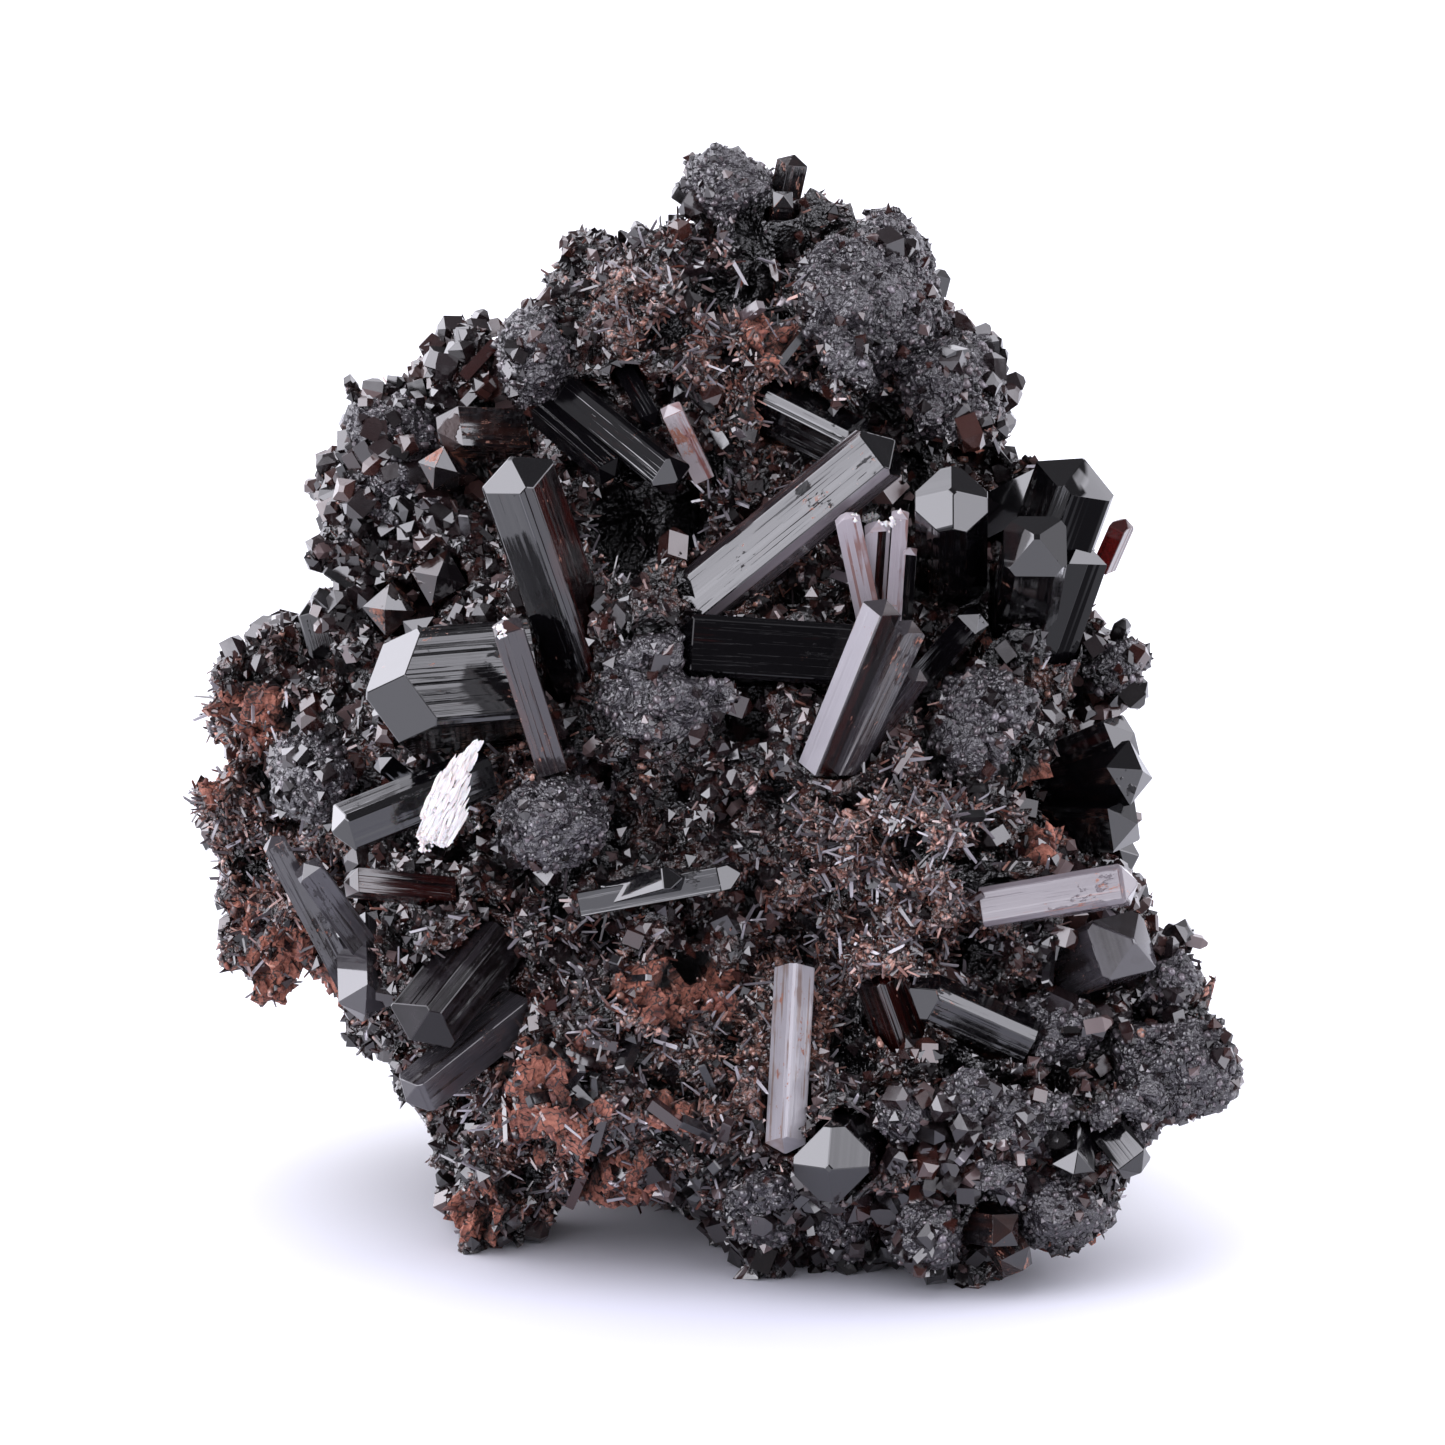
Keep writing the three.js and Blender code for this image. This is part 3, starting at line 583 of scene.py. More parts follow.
RUST = (
    (8.5, 17.8, 5.4, 4.6), (2.4, 41.6, 3.4, 4.2), (-3.6, 43.6, 2.0, 1.8), (-1.5, 9.5, 4.2, 4.2),
    (5.0, 12.2, 3.4, 3.0), (-9.6, 22.6, 2.6, 2.4), (-6.0, 5.0, 4.0, 3.4), (1.0, 31.4, 3.0, 1.6),
    (-21.2, 20.0, 2.6, 6.0), (-17.8, 19.6, 1.4, 2.6),
)
FELT = (
    (-8.0, 13.5, 5.5, 3.0), (-3.0, 7.0, 9.0, 4.6), (8.0, 17.0, 6.5, 5.5), (-21.5, 19.0, 3.4, 7.0),
    (1.5, 42.5, 5.0, 5.0), (-3.6, 44.6, 2.4, 2.2), (-14.0, 24.0, 3.0, 1.6), (2.5, 33.5, 4.0, 2.4),
    (-7.0, 32.0, 3.0, 3.0),
)
BLOCKS = (
    (-14.6, 35.5, 3.2, 6.6), (-14.0, 29.5, 3.4, 3.0), (18.5, 23.0, 2.6, 5.6),
    (18.0, 14.0, 3.0, 3.6), (6.0, 1.2, 7.0, 2.2), (-12.5, 41.5, 3.0, 2.4), (12.6, 42.0, 2.4, 4.4),
    (-19.5, 30.0, 3.4, 2.2), (12.0, 5.0, 3.0, 3.0),
)
# Recesses that are pushed in and painted near black as shade.
VOIDS = (
    (0.6, 44.4, 1.7, 1.1), (2.2, 45.3, 1.3, 1.5), (-1.8, 42.2, 1.1, 0.9), (1.6, 38.6, 1.0, 0.6),
    (-2.9, 33.6, 2.3, 2.8), (0.4, 36.0, 1.2, 1.0), (2.6, 47.2, 1.5, 1.2), (12.9, 37.0, 1.3, 0.9),
    (12.6, 17.2, 1.2, 0.8), (6.4, 10.2, 1.1, 1.6), (13.2, 29.4, 1.8, 1.8), (16.6, 27.4, 1.4, 2.6),
    (2.1, 26.6, 0.9, 0.8), (-4.2, 28.6, 0.8, 1.0), (-11.5, 24.2, 1.6, 0.6), (-3.0, 9.0, 1.0, 0.6),
    (5.4, 16.7, 1.2, 0.7), (14.9, 22.4, 1.4, 2.4), (-8.6, 3.4, 0.9, 0.8), (15.8, 8.6, 1.0, 0.8),
    (18.0, 9.6, 0.6, 1.9), (20.2, 11.4, 1.5, 0.5), (12.3, 2.3, 0.9, 1.1), (11.4, 9.4, 1.5, 0.8),
    (16.9, 4.6, 0.5, 1.2),
)
FAR = 9.0


def nearness(patches, seen):
    """How near each point is to a patch: 0 at the middle of the nearest and 1 at its edge."""
    nearest = np.full(len(seen), FAR)
    for across, up, half_width, half_height in patches:
        aside, above = (seen[:, 0] - across) / half_width, (seen[:, 1] - up) / half_height
        nearest = np.minimum(nearest, np.hypot(aside, above))
    return nearest


def smooth(value, low, high):
    """0 below low, 1 above high, and a smooth step between."""
    t = np.clip((value - low) / (high - low), 0, 1)
    return t * t * (3 - 2 * t)


print("patches:", sum(len(p) for p in (DRUSE, CLAY, RUST, FELT, BLOCKS, VOIDS)))

# %% [markdown]
# Relief needs noise at several sizes, from crags of 2.3 mm to wrinkles of 0.6 mm. Lumps are highest
# at scattered points and fall off with the distance to the nearest one. The clay follows noise that
# is drawn out upward. The large crystals are found with a search tree.

# %% Noise and search tree


def crystal_tree():
    """One search tree over every large crystal."""
    verts, faces = [], []
    for name in crystal_names + ["calcite_splinter"]:
        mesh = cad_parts[name].data
        start = len(verts)
        verts += [v.co.copy() for v in mesh.vertices]
        faces += [[start + i for i in p.vertices] for p in mesh.polygons]
    return BVHTree.FromPolygons(verts, faces)


def fields(points):
    """Noise at points in mm, under the names of what it shapes."""
    names = ("crag", "lump", "small", "wrinkle", "flute", "pitted", "slow", "slower", "fine")
    rows = []
    for x, y, z in points:
        p = Vector((x, y, z))
        rows.append(
            (
                noise.fractal(p / 2.3, 0.9, 2.1, 4),
                0.5 - noise.voronoi(p / 1.9)[0][0],
                0.5 - noise.voronoi(p / 0.95 + Vector((9, 3, 1)))[0][0],
                0.5 - abs(noise.noise(p / 0.62 + Vector((4, 8, 2)))) * 2,
                noise.noise(Vector((x / 0.7, y / 0.7, z / 2.1))),
                noise.noise(p / 1.7 + Vector((21, 4, 13))),
                noise.noise(p / 6.0 + Vector((3, 7, 5))),
                noise.noise(p / 5.0 + Vector((31, 17, 2))),
                noise.noise(p / 1.1),
            )
        )
    return SimpleNamespace(**dict(zip(names, np.array(rows).T)))


# %% [markdown]
# Crags and lumps cover the open rock. The druse stands up in knobs, each with a groove round it,
# and the clay gets flutes that run down it, with furrows between them. Pits are pushed in, and so
# are the recesses that get a painted shade of near black. Near a crystal everything gets lower, so
# that nothing rises over it.

# %% Relief
# Heights in mm, for rock, druse, clay and hollows.
CRAG, LUMP, BLOCK, FINE, SMALL = 1.1, 0.45, 0.8, 0.35, 0.4
KNOB, GRAIN, WRINKLE = 1.1, 0.5, 0.34
FLUTE, CLOD, FURROW = 1.3, 0.5, 1.4
PIT, VOID, SINK, JITTER = 1.3, 1.6, 0.12, 0.07


def ground_shares(seen, front, wild):
    """How much each kind of ground takes of every vertex: listed in front, by noise behind."""

    def share(patches, field, low, high):
        # A listed patch fades out a little past its edge, raggedly.
        listed = np.clip((1.15 + 0.5 * wild.fine - nearness(patches, seen)) / 0.25, 0, 1)
        return np.maximum(listed * front, smooth(field, low, high) * (1 - front))

    druse = share(DRUSE, wild.slow, 0.1, 0.3)
    return SimpleNamespace(
        druse=druse,
        clay=share(CLAY, wild.slower, 0.22, 0.36) * (1 - druse),
        rust=share(RUST, wild.slower, 0.02, 0.3),
        felt=share(FELT, wild.slower, -0.1, 0.2),
        blocks=share(BLOCKS, -wild.slow, 0.0, 0.25),
        void=share(VOIDS, wild.slower, 0.5, 0.6),
    )


def knobs(seen, front):
    """Domes where the druse is listed, with a groove round each."""
    ball = nearness(DRUSE, seen)
    groove = smooth(ball, 0.85, 1.1) * (1 - smooth(ball, 1.1, 1.5))
    return (np.clip(1 - ball**2, 0, 1) * KNOB - groove) * front


def relief(on, wild, gap, dome):
    """How far every vertex rises, in mm, and how much of it is furrow and pit."""
    rise = (1 - 0.6 * on.druse) * (CRAG * wild.crag + (LUMP + BLOCK * on.blocks) * wild.lump) + dome
    furrow = on.clay * (1 - smooth(wild.flute, -0.3, 0.05))
    pit = smooth(wild.pitted, 0.16, 0.36) * (1 - 0.75 * on.druse) * (1 - on.clay)
    pit = pit * smooth(gap, 0.4, 1.0)
    grains = on.druse * (GRAIN * wild.small + WRINKLE * wild.wrinkle)
    rise += grains + on.clay * (FLUTE * wild.flute + CLOD * wild.small) - FURROW * furrow
    rise -= PIT * pit + VOID * on.void * smooth(gap, 0.0, 0.8)
    rise += (1 - on.druse) * (1 - on.clay) * (FINE * wild.fine + SMALL * wild.small)
    free = smooth(gap, 0.15, 1.0)
    rise = np.where(rise > 0, rise * free, rise * (0.3 + 0.7 * free))
    return rise, free, furrow, pit


# %% [markdown]
# What grows where is one share for each kind of small crystal. Hollows keep a tenth of them or
# less, so the rock's painted shade shows black there, and the back keeps two thirds. Each kind
# leaves its own gap, in millimetres, to the nearest large crystal, so no needle stands inside a
# socket.

# %% Growth


def growth(on, gap, rise, shaded_hollow, front, broad):
    """How densely each kind of small crystal stands at every vertex, from 0 to 1."""
    sunken = smooth(-rise, 0.2, 1.0) * (1 - on.druse)
    open_air = (1 - 0.93 * shaded_hollow) * (1 - 0.9 * on.void) * (1 - 0.7 * sunken)
    open_air = open_air * (0.62 + 0.38 * front)
    bare = (1 - on.druse) * (1 - 0.8 * on.clay) * open_air
    rusty = 0.08 + 0.92 * np.maximum(on.rust, 0.35 * on.clay)
    blocky = 0.6 + 0.4 * np.maximum(on.blocks, 1 - on.felt)
    stubby = np.maximum(0.12 * (1 - on.clay) * (1 - on.rust), on.blocks)
    barred = np.maximum(on.felt, on.blocks) * (1 - on.druse) * (1 - on.void) * broad
    return {
        "needles": bare * (0.1 + 0.9 * on.felt) * smooth(gap, 0.15, 0.45),
        "rods": bare * np.maximum(on.felt, 0.6 * on.rust) * smooth(gap, 0.2, 0.6),
        "rusty": bare * rusty * smooth(gap, 0.15, 0.45),
        "grains": on.druse * open_air * smooth(gap, 0.05, 0.25),
        "granules": bare * (1 - 0.6 * on.rust) * blocky * smooth(gap, 0.05, 0.25),
        "flakes": on.clay * open_air * smooth(gap, 0.1, 0.3),
        "stubs": stubby * (1 - 0.6 * on.druse) * (1 - on.void) * smooth(gap, 0.5, 1.0),
        "bars": barred * smooth(gap, 0.4, 0.8),
    }


# %% [markdown]
# Now the skin's vertices move, and the shares are stored with it as attributes. The bars keep to
# the front and the back, where they don't stick out of the outline.

# %% Dress the rock


def vertex_vectors(items, kind):
    """A vector of every vertex, as a table with one row each."""
    flat = np.empty(len(items) * 3)
    items.foreach_get(kind, flat)
    return flat.reshape(-1, 3)


def move_vertices(mesh, co):
    """Moves a mesh's vertices to these places, but none below the table."""
    co[:, 2] = np.maximum(co[:, 2], 0.0)
    mesh.vertices.foreach_set("co", co.ravel())
    mesh.update()


def dress_rock(mesh):
    """Moves the skin's vertices and stores what grows where."""
    co = vertex_vectors(mesh.vertices, "co")
    normal = vertex_vectors(mesh.vertex_normals, "vector")
    seen = seen_from_front(co)
    front = smooth(normal @ np.array((0, -COSINE, SINE)), -0.5, 0.0)
    wild = fields(co / MM)
    on = ground_shares(seen, front, wild)
    tree = crystal_tree()
    gap = np.array([tree.find_nearest(Vector(p))[3] for p in co]) / MM
    rise, free, furrow, pit = relief(on, wild, gap, knobs(seen, front))
    jitter = np.random.default_rng(3).uniform(-JITTER, JITTER, co.shape) * free[:, None]
    co = co + (normal * (rise - SINK)[:, None] + jitter) * MM
    move_vertices(mesh, co)
    broad = smooth(np.abs(normal[:, 1]), 0.45, 0.75) * smooth(co[:, 2] / MM, 3, 5)
    broad = broad * smooth(seen[:, 0], -18.5, -17)
    shaded_hollow = np.maximum(pit, furrow)
    values = {
        "druse": on.druse,
        "clay": on.clay,
        "rust": on.rust,
        # Sunken places, voids, pits and furrows, where the rock finish paints shade.
        "shaded_hollow": np.maximum(np.maximum(smooth(-rise, 0.1, 0.9), on.void), shaded_hollow),
        **growth(on, gap, rise, shaded_hollow, front, broad),
    }
    for name, value in values.items():
        attribute = mesh.attributes.new(name, "FLOAT", "POINT")
        attribute.data.foreach_set("value", value.astype(np.float32))
    mesh.polygons.foreach_set("use_smooth", np.zeros(len(mesh.polygons), dtype=bool))
    mesh.update()
    print("relief, mm:", round(rise.min(), 2), "to", round(rise.max(), 2))


dress_rock(skin)

# %% [markdown]
# The rock itself is a mass of fine garnet and manganese minerals, nearly black, with brown clay in
# it. Between the needles it is dull, and in the druse it glitters: a Voronoi pattern tilts the
# surface cell by cell, and its cells of a quarter of a millimetre stand for grains. Thin dark
# lines, where smooth noise passes its middle, part the clay into crumbs.

# %% Rock finish
GARNET_IOR = 1.7
ROCK_ROUGH, CLAY_ROUGH = 0.27, 0.85


def rock_finish():
    """Dark rock, rusty and clayey where the skin's attributes say so."""
    material, tree, shader = new_material("garnet_rock_with_clay")
    at = add(tree, COORDINATES).outputs["Object"]
    druse, clay, rust, shaded_hollow = (
        add(tree, ATTRIBUTE, attribute_name=name).outputs["Fac"]
        for name in ("druse", "clay", "rust", "shaded_hollow")
    )
    earth = add(tree, NOISE, {"Vector": at, "Scale": 1.1 / MM, "Detail": 6, "Roughness": 0.75})
    spots = add(tree, NOISE, {"Vector": at, "Scale": 2.6 / MM, "Detail": 4, "Roughness": 0.6})
    cells = add(tree, "ShaderNodeTexVoronoi", {"Vector": at, "Scale": 3.8 / MM})
    waves = add(tree, NOISE, {"Vector": at, "Scale": 1.9 / MM, "Detail": 2, "Roughness": 0.5})
    worms = add(tree, MATH, {0: weigh(tree, (waves, 1), start=-0.5)}, operation="ABSOLUTE")
    stone = ramp(tree, earth, 0.48, 0.68, "#0b0708", "#50291f")
    rusty = ramp(tree, spots, 0.4, 0.64, "#1d1010", "#9c6959")
    loam = ramp(tree, earth, 0.36, 0.66, "#57261c", "#bf7963")
    loam = ramp(tree, worms, 0.0, 0.05, "#2a120e", loam)
    rusted = add(tree, RANGE, {0: earth, 1: 0.4, 2: 0.6})
    rusted = add(tree, MATH, {0: rust, 1: rusted}, operation="MULTIPLY")
    colour = ramp(tree, rusted, 0, 1, stone, rusty)
    ragged = weigh(tree, (clay, 1), (earth, 1.8), start=-0.9)
    ragged = add(tree, RANGE, {0: ragged, 1: 0.35, 2: 0.6})
    colour = ramp(tree, ragged, 0, 1, colour, loam)
    colour = ramp(tree, druse, 0.3, 0.7, colour, "#322e33")
    colour = ramp(tree, worms, 0.0, 0.03, "#060405", colour)
    # Painted shade: the hollows turn near black.
    colour = ramp(tree, shaded_hollow, 0.15, 0.8, colour, "#050304")
    rough = add(tree, RANGE, {0: ragged, 3: ROCK_ROUGH, 4: CLAY_ROUGH})
    height = weigh(tree, (spots, 0.8), (cells, 0.5), (worms, -1.6))
    bump = add(tree, BUMP, {"Height": height, "Strength": 1.0, "Distance": 0.22 * MM})
    looks = {"Base Color": colour, "Roughness": rough, "Normal": bump, "IOR": GARNET_IOR}
    set_inputs(tree, shader, looks)
    return material


skin.materials.clear()
skin.materials.append(rock_finish())
keep(skin, "rock_skin", "matrix_rock", "matrix")

# %% [markdown]
# ## Needles, grains and stubs
#
# Thousands of tiny crystals grow on the rock, so Geometry Nodes scatter them. One tree does all
# twelve kinds. It takes the shape to scatter, the name of the attribute that says where, how many
# stand on a square metre, their sizes in metres, and how far they lean from the surface. Each
# instance stores a random "tint" for its colour.

# %% Scatter tree
SCATTER_INPUTS = {
    "Geometry": "NodeSocketGeometry",
    "Shape": "NodeSocketObject",
    "Where": "NodeSocketString",
    "Density": "NodeSocketFloat",
    "Shortest": "NodeSocketFloat",
    "Longest": "NodeSocketFloat",
    "Thinnest": "NodeSocketFloat",
    "Thickest": "NodeSocketFloat",
    "Lean": "NodeSocketFloat",
    "Seed": "NodeSocketInt",
    "Finish": "NodeSocketMaterial",
}
FULL_TURN = 6.283


def scatter_tree():
    """Small crystals on a surface, as dense as one of its attributes says."""
    tree = bpy.data.node_groups.new("scatter_crystals", "GeometryNodeTree")
    for name, kind in SCATTER_INPUTS.items():
        tree.interface.new_socket(name, in_out="INPUT", socket_type=kind)
    tree.interface.new_socket("Geometry", in_out="OUTPUT", socket_type="NodeSocketGeometry")
    given = add(tree, "NodeGroupInput").outputs

    def chance(low, high, salt, kind="FLOAT"):
        """A random value for each point, with a seed of its own."""
        seed = add(tree, MATH, {0: given["Seed"], 1: salt}, operation="ADD")
        first, output = {"FLOAT": (2, 1), "FLOAT_VECTOR": (0, 0)}[kind]
        inputs = {first: low, first + 1: high, 8: seed}
        return add(tree, "FunctionNodeRandomValue", inputs, data_type=kind).outputs[output]

    stored = {"Name": given["Where"]}
    where = add(tree, "GeometryNodeInputNamedAttribute", stored, data_type="FLOAT")
    density = add(tree, MATH, {0: where, 1: given["Density"]}, operation="MULTIPLY")
    ground = {"Mesh": given["Geometry"], "Density": density, "Seed": given["Seed"]}
    points = add(tree, "GeometryNodeDistributePointsOnFaces", ground)
    stray = chance((-1, -1, -1), (1, 1, 1), 1, "FLOAT_VECTOR")
    leaning = add(tree, VECTOR_MATH, {0: stray, "Scale": given["Lean"]}, operation="SCALE")
    upright = add(tree, VECTOR_MATH, {0: leaning, 1: points.outputs["Normal"]}, operation="ADD")
    turned = add(tree, "FunctionNodeAlignRotationToVector", {"Vector": upright}, axis="Z")
    around = {"Axis": (0, 0, 1), "Angle": chance(0.0, FULL_TURN, 2)}
    spin = add(tree, "FunctionNodeAxisAngleToRotation", around)
    both = {"Rotation": turned, "Rotate By": spin}
    rotation = add(tree, "FunctionNodeRotateRotation", both, rotation_space="LOCAL")
    width = chance(given["Thinnest"], given["Thickest"], 3)
    length = chance(given["Shortest"], given["Longest"], 4)
    size = add(tree, "ShaderNodeCombineXYZ", {"X": width, "Y": width, "Z": length})
    shape = add(tree, "GeometryNodeObjectInfo", {"Object": given["Shape"]}).outputs["Geometry"]
    stand = {"Points": points, "Instance": shape, "Rotation": rotation, "Scale": size}
    instances = add(tree, "GeometryNodeInstanceOnPoints", stand)
    tint = {"Geometry": instances, "Name": "tint", "Value": chance(0.0, 1.0, 5)}
    kept = {"data_type": "FLOAT", "domain": "INSTANCE"}
    tinted = add(tree, "GeometryNodeStoreNamedAttribute", tint, **kept)
    real = add(tree, "GeometryNodeRealizeInstances", {"Geometry": tinted})
    finish = {"Geometry": real, "Material": given["Finish"]}
    finished = add(tree, "GeometryNodeSetMaterial", finish)
    add(tree, "NodeGroupOutput", {"Geometry": finished})
    return tree


scatter = scatter_tree()
print("scatter tree, nodes:", len(scatter.nodes))

# %% [markdown]
# The shapes to scatter are one unit wide and long, with their feet sunk a little into the rock.
# They have few faces, because they are repeated thousands of times. The attribute "tip" runs from
# 0 at the foot to 1 at the end, and lets the ends be rusty.

# %% Prism and needle shapes
BURIED = -0.2  # the foot of a prism, below the surface


def prism_shape(name, top, shoulder):
    """A square prism of unit size that narrows to its top above the shoulder."""
    bm = bmesh.new()
    tip = bm.verts.layers.float.new("tip")
    rings = []
    for height, half in ((BURIED, 0.5), (shoulder, 0.5), (1.0, 0.5 * top)):
        corners = ((-1, -1), (1, -1), (1, 1), (-1, 1))
        rings.append([bm.verts.new((x * half, y * half, height)) for x, y in corners])
        for vert in rings[-1]:
            vert[tip] = max(height, 0)
    for low, high in zip(rings, rings[1:]):
        for i in range(4):
            bm.faces.new((low[i], low[(i + 1) % 4], high[(i + 1) % 4], high[i]))
    bm.faces.new(reversed(rings[0]))
    bm.faces.new(rings[-1])
    return linked(name, to_mesh(bm, name))


def splinter_shape(name):
    """A three-sided needle with a slanting end, the least that still looks like a crystal."""
    bm = bmesh.new()
    tip = bm.verts.layers.float.new("tip")
    corners = ((0.0, -0.6), (0.52, 0.3), (-0.52, 0.3))
    ends = (1.0, 0.86, 0.93)
    low = [bm.verts.new((x, y, -0.15)) for x, y in corners]
    high = [bm.verts.new((x * 0.7, y * 0.7, h)) for (x, y), h in zip(corners, ends)]
    for vert in high:
        vert[tip] = 1
    for i in range(3):
        j = (i + 1) % 3
        bm.faces.new((low[i], low[j], high[j], high[i]))
    bm.faces.new(reversed(low))
    bm.faces.new(high)
    return linked(name, to_mesh(bm, name))


# %% [markdown]
# Grains are uneven octahedra, because they show flat faces on all sides. Crumbs of clay are
# rounded lumps.

# %% Grain and lump shapes


def octahedron(bm, chance, aside, reach, centre=Vector(), size=1):
    """An uneven octahedron. Its six corners lie at reach on the axes, and aside of them."""
    ends = []
    for axis in range(3):
        for sign in (1, -1):
            point = [chance.uniform(-aside, aside) for _ in range(3)]
            point[axis] = sign * chance.uniform(*reach)
            ends.append(bm.verts.new(centre + Vector(point) * size))
    sides = [(a, b, c) for a in (0, 1) for b in (2, 3) for c in (4, 5)]
    return [bm.faces.new([ends[i] for i in side]) for side in sides]


def chip_shape(name, seed):
    """An uneven octahedron of about unit size around its own middle."""
    bm = bmesh.new()
    octahedron(bm, random.Random(seed), 0.16, (0.4, 0.6))
    bmesh.ops.recalc_face_normals(bm, faces=bm.faces)
    return linked(name, to_mesh(bm, name))


def lump_shape(name, seed):
    """A rounded, uneven lump of about unit size."""
    bm = bmesh.new()
    bmesh.ops.create_icosphere(bm, subdivisions=1, radius=0.5)
    chance = random.Random(seed)
    for vert in bm.verts:
        vert.co *= chance.uniform(0.55, 1.3)
    for face in bm.faces:
        face.smooth = True
    return linked(name, to_mesh(bm, name))


needle = splinter_shape("needle_shape")
lump = lump_shape("lump_shape", 6)
bar = prism_shape("bar_shape", 0.8, 0.95)
chip = chip_shape("chip_shape", 4)
stub = prism_shape("stub_shape", 0.3, 0.7)
shapes = (needle, lump, bar, chip, stub)
print("faces:", {shape.name: len(shape.data.polygons) for shape in shapes})

# %% [markdown]
# Needles and grains are the same mineral as the large crystals, too small for ribs. Their colour
# follows the random tint: from black through dark red to the brown of the clay that dusts them,
# or to grey where they are clean. The rusty needles also change toward their ends, and grains
# with clay on them are stained in specks.

# %% Small finishes


def small_finish(name, shades, rough, tip_colour=None, stain=None):
    """A finish for small crystals. shades are (tint, colour) stops."""
    material, tree, shader = new_material(name)
    tint = add(tree, ATTRIBUTE, attribute_name="tint").outputs["Fac"]
    at = add(tree, COORDINATES).outputs["Object"]
    blotch = add(tree, NOISE, {"Vector": at, "Scale": 1.5 / MM, "Detail": 3})
    (start, colour), *rest = shades
    for end, shade in rest:
        colour = ramp(tree, tint, start, end, colour, shade)
        start = end
    if tip_colour:
        tip = add(tree, ATTRIBUTE, attribute_name="tip").outputs["Fac"]
        amount = add(tree, MATH, {0: tip, 1: blotch}, operation="MULTIPLY")
        colour = ramp(tree, amount, 0.35, 0.62, colour, tip_colour)
    if stain:
        specks = {"Vector": at, "Scale": 4.2 / MM, "Detail": 3, "Roughness": 0.6}
        colour = ramp(tree, add(tree, NOISE, specks), 0.46, 0.56, colour, stain)
    dull = add(tree, RANGE, {0: blotch, 1: 0.35, 2: 0.7, 3: rough, 4: rough + 0.15})
    looks = {"Base Color": colour, "Roughness": dull, "IOR": VESUVIANITE_IOR}
    set_inputs(tree, shader, looks)
    return material


black_needle = small_finish(
    "vesuvianite_needles",
    ((0, "#0b0708"), (0.45, "#291617"), (0.75, "#63382f"), (1, "#a58b88")),
    rough=0.08,
)
rod_finish = small_finish(
    "vesuvianite_rods",
    ((0, "#1a1112"), (0.3, "#463f42"), (0.7, "#858087"), (1, "#bbb6bd")),
    rough=0.14,
)
rusty_needle = small_finish(
    "vesuvianite_rusty",
    ((0, "#140c0c"), (0.4, "#40241f"), (0.8, "#8d6054"), (1, "#d3a698")),
    rough=0.26,
    tip_colour="#9b6d60",
)
rusty_grain = small_finish(
    "garnet_rusty_grains",
    ((0, "#1c1213"), (0.4, "#553631"), (0.75, "#97695a"), (0.94, "#c99a8b"), (1, "#c1bac0")),
    rough=0.3,
    stain="#21171a",
)
druse_finish = small_finish(
    "vesuvianite_druse",
    ((0, "#171517"), (0.6, "#3e393e"), (0.9, "#594e52"), (1, "#736c73")),
    rough=0.22,
)
stub_finish = small_finish(
    "vesuvianite_stubs",
    ((0, "#0c090a"), (0.6, "#231a1c"), (0.88, "#3d201b"), (1, "#6d5d5d")),
    rough=0.08,
)
bar_finish = small_finish(
    "vesuvianite_bars",
    ((0, "#0a090a"), (0.6, "#1d1a1d"), (0.85, "#341513"), (1, "#6e6a70")),
    rough=0.06,
)
clay_finish = small_finish(
    "clay_crumbs",
    ((0, "#4a211a"), (0.45, "#8a4a39"), (0.85, "#ac6a56"), (1, "#cf9a88")),
    rough=0.7,
    stain="#5a2a20",
)

# %% [markdown]
# Every row below is one run of the tree on the rock's skin. The result becomes a plain mesh that
# rides on the rock, and no part of it reaches below the table.

# %% Scatter
SCATTERS = (
    # name, shape, where, per square mm, lengths, widths (mm), lean, seed, finish
    ("black_needles", needle, "needles", 5.0, (0.2, 0.7), (0.07, 0.17), 2.2, 11, black_needle),
    ("rods", needle, "rods", 2.6, (0.4, 1.25), (0.09, 0.2), 2.6, 29, rod_finish),
    ("rusty_needles", needle, "rusty", 3.2, (0.2, 0.7), (0.07, 0.16), 2.2, 23, rusty_needle),
    ("rusty_grains", lump, "rusty", 3.4, (0.15, 0.8), (0.15, 0.55), 4.0, 31, rusty_grain),
    ("druse_grains", chip, "grains", 5.6, (0.1, 0.34), (0.1, 0.36), 4.0, 37, druse_finish),
    ("druse_knobs", lump, "grains", 1.5, (0.2, 0.55), (0.2, 0.6), 4.0, 41, druse_finish),
    ("druse_facets", chip, "grains", 0.5, (0.4, 0.95), (0.35, 0.8), 4.0, 39, stub_finish),
    ("granules", chip, "granules", 3.8, (0.25, 1.0), (0.22, 0.8), 4.0, 43, stub_finish),
    ("clay_crumbs", lump, "flakes", 0.9, (0.3, 1.1), (0.2, 0.5), 3.0, 47, clay_finish),
    ("small_bars", bar, "bars", 0.16, (0.9, 2.2), (0.25, 0.55), 2.6, 57, bar_finish),
    ("small_stubs", stub, "stubs", 1.3, (0.35, 1.1), (0.35, 1.0), 1.6, 51, stub_finish),
    ("large_stubs", stub, "stubs", 0.07, (0.7, 1.4), (0.7, 1.2), 0.9, 53, stub_finish),
)


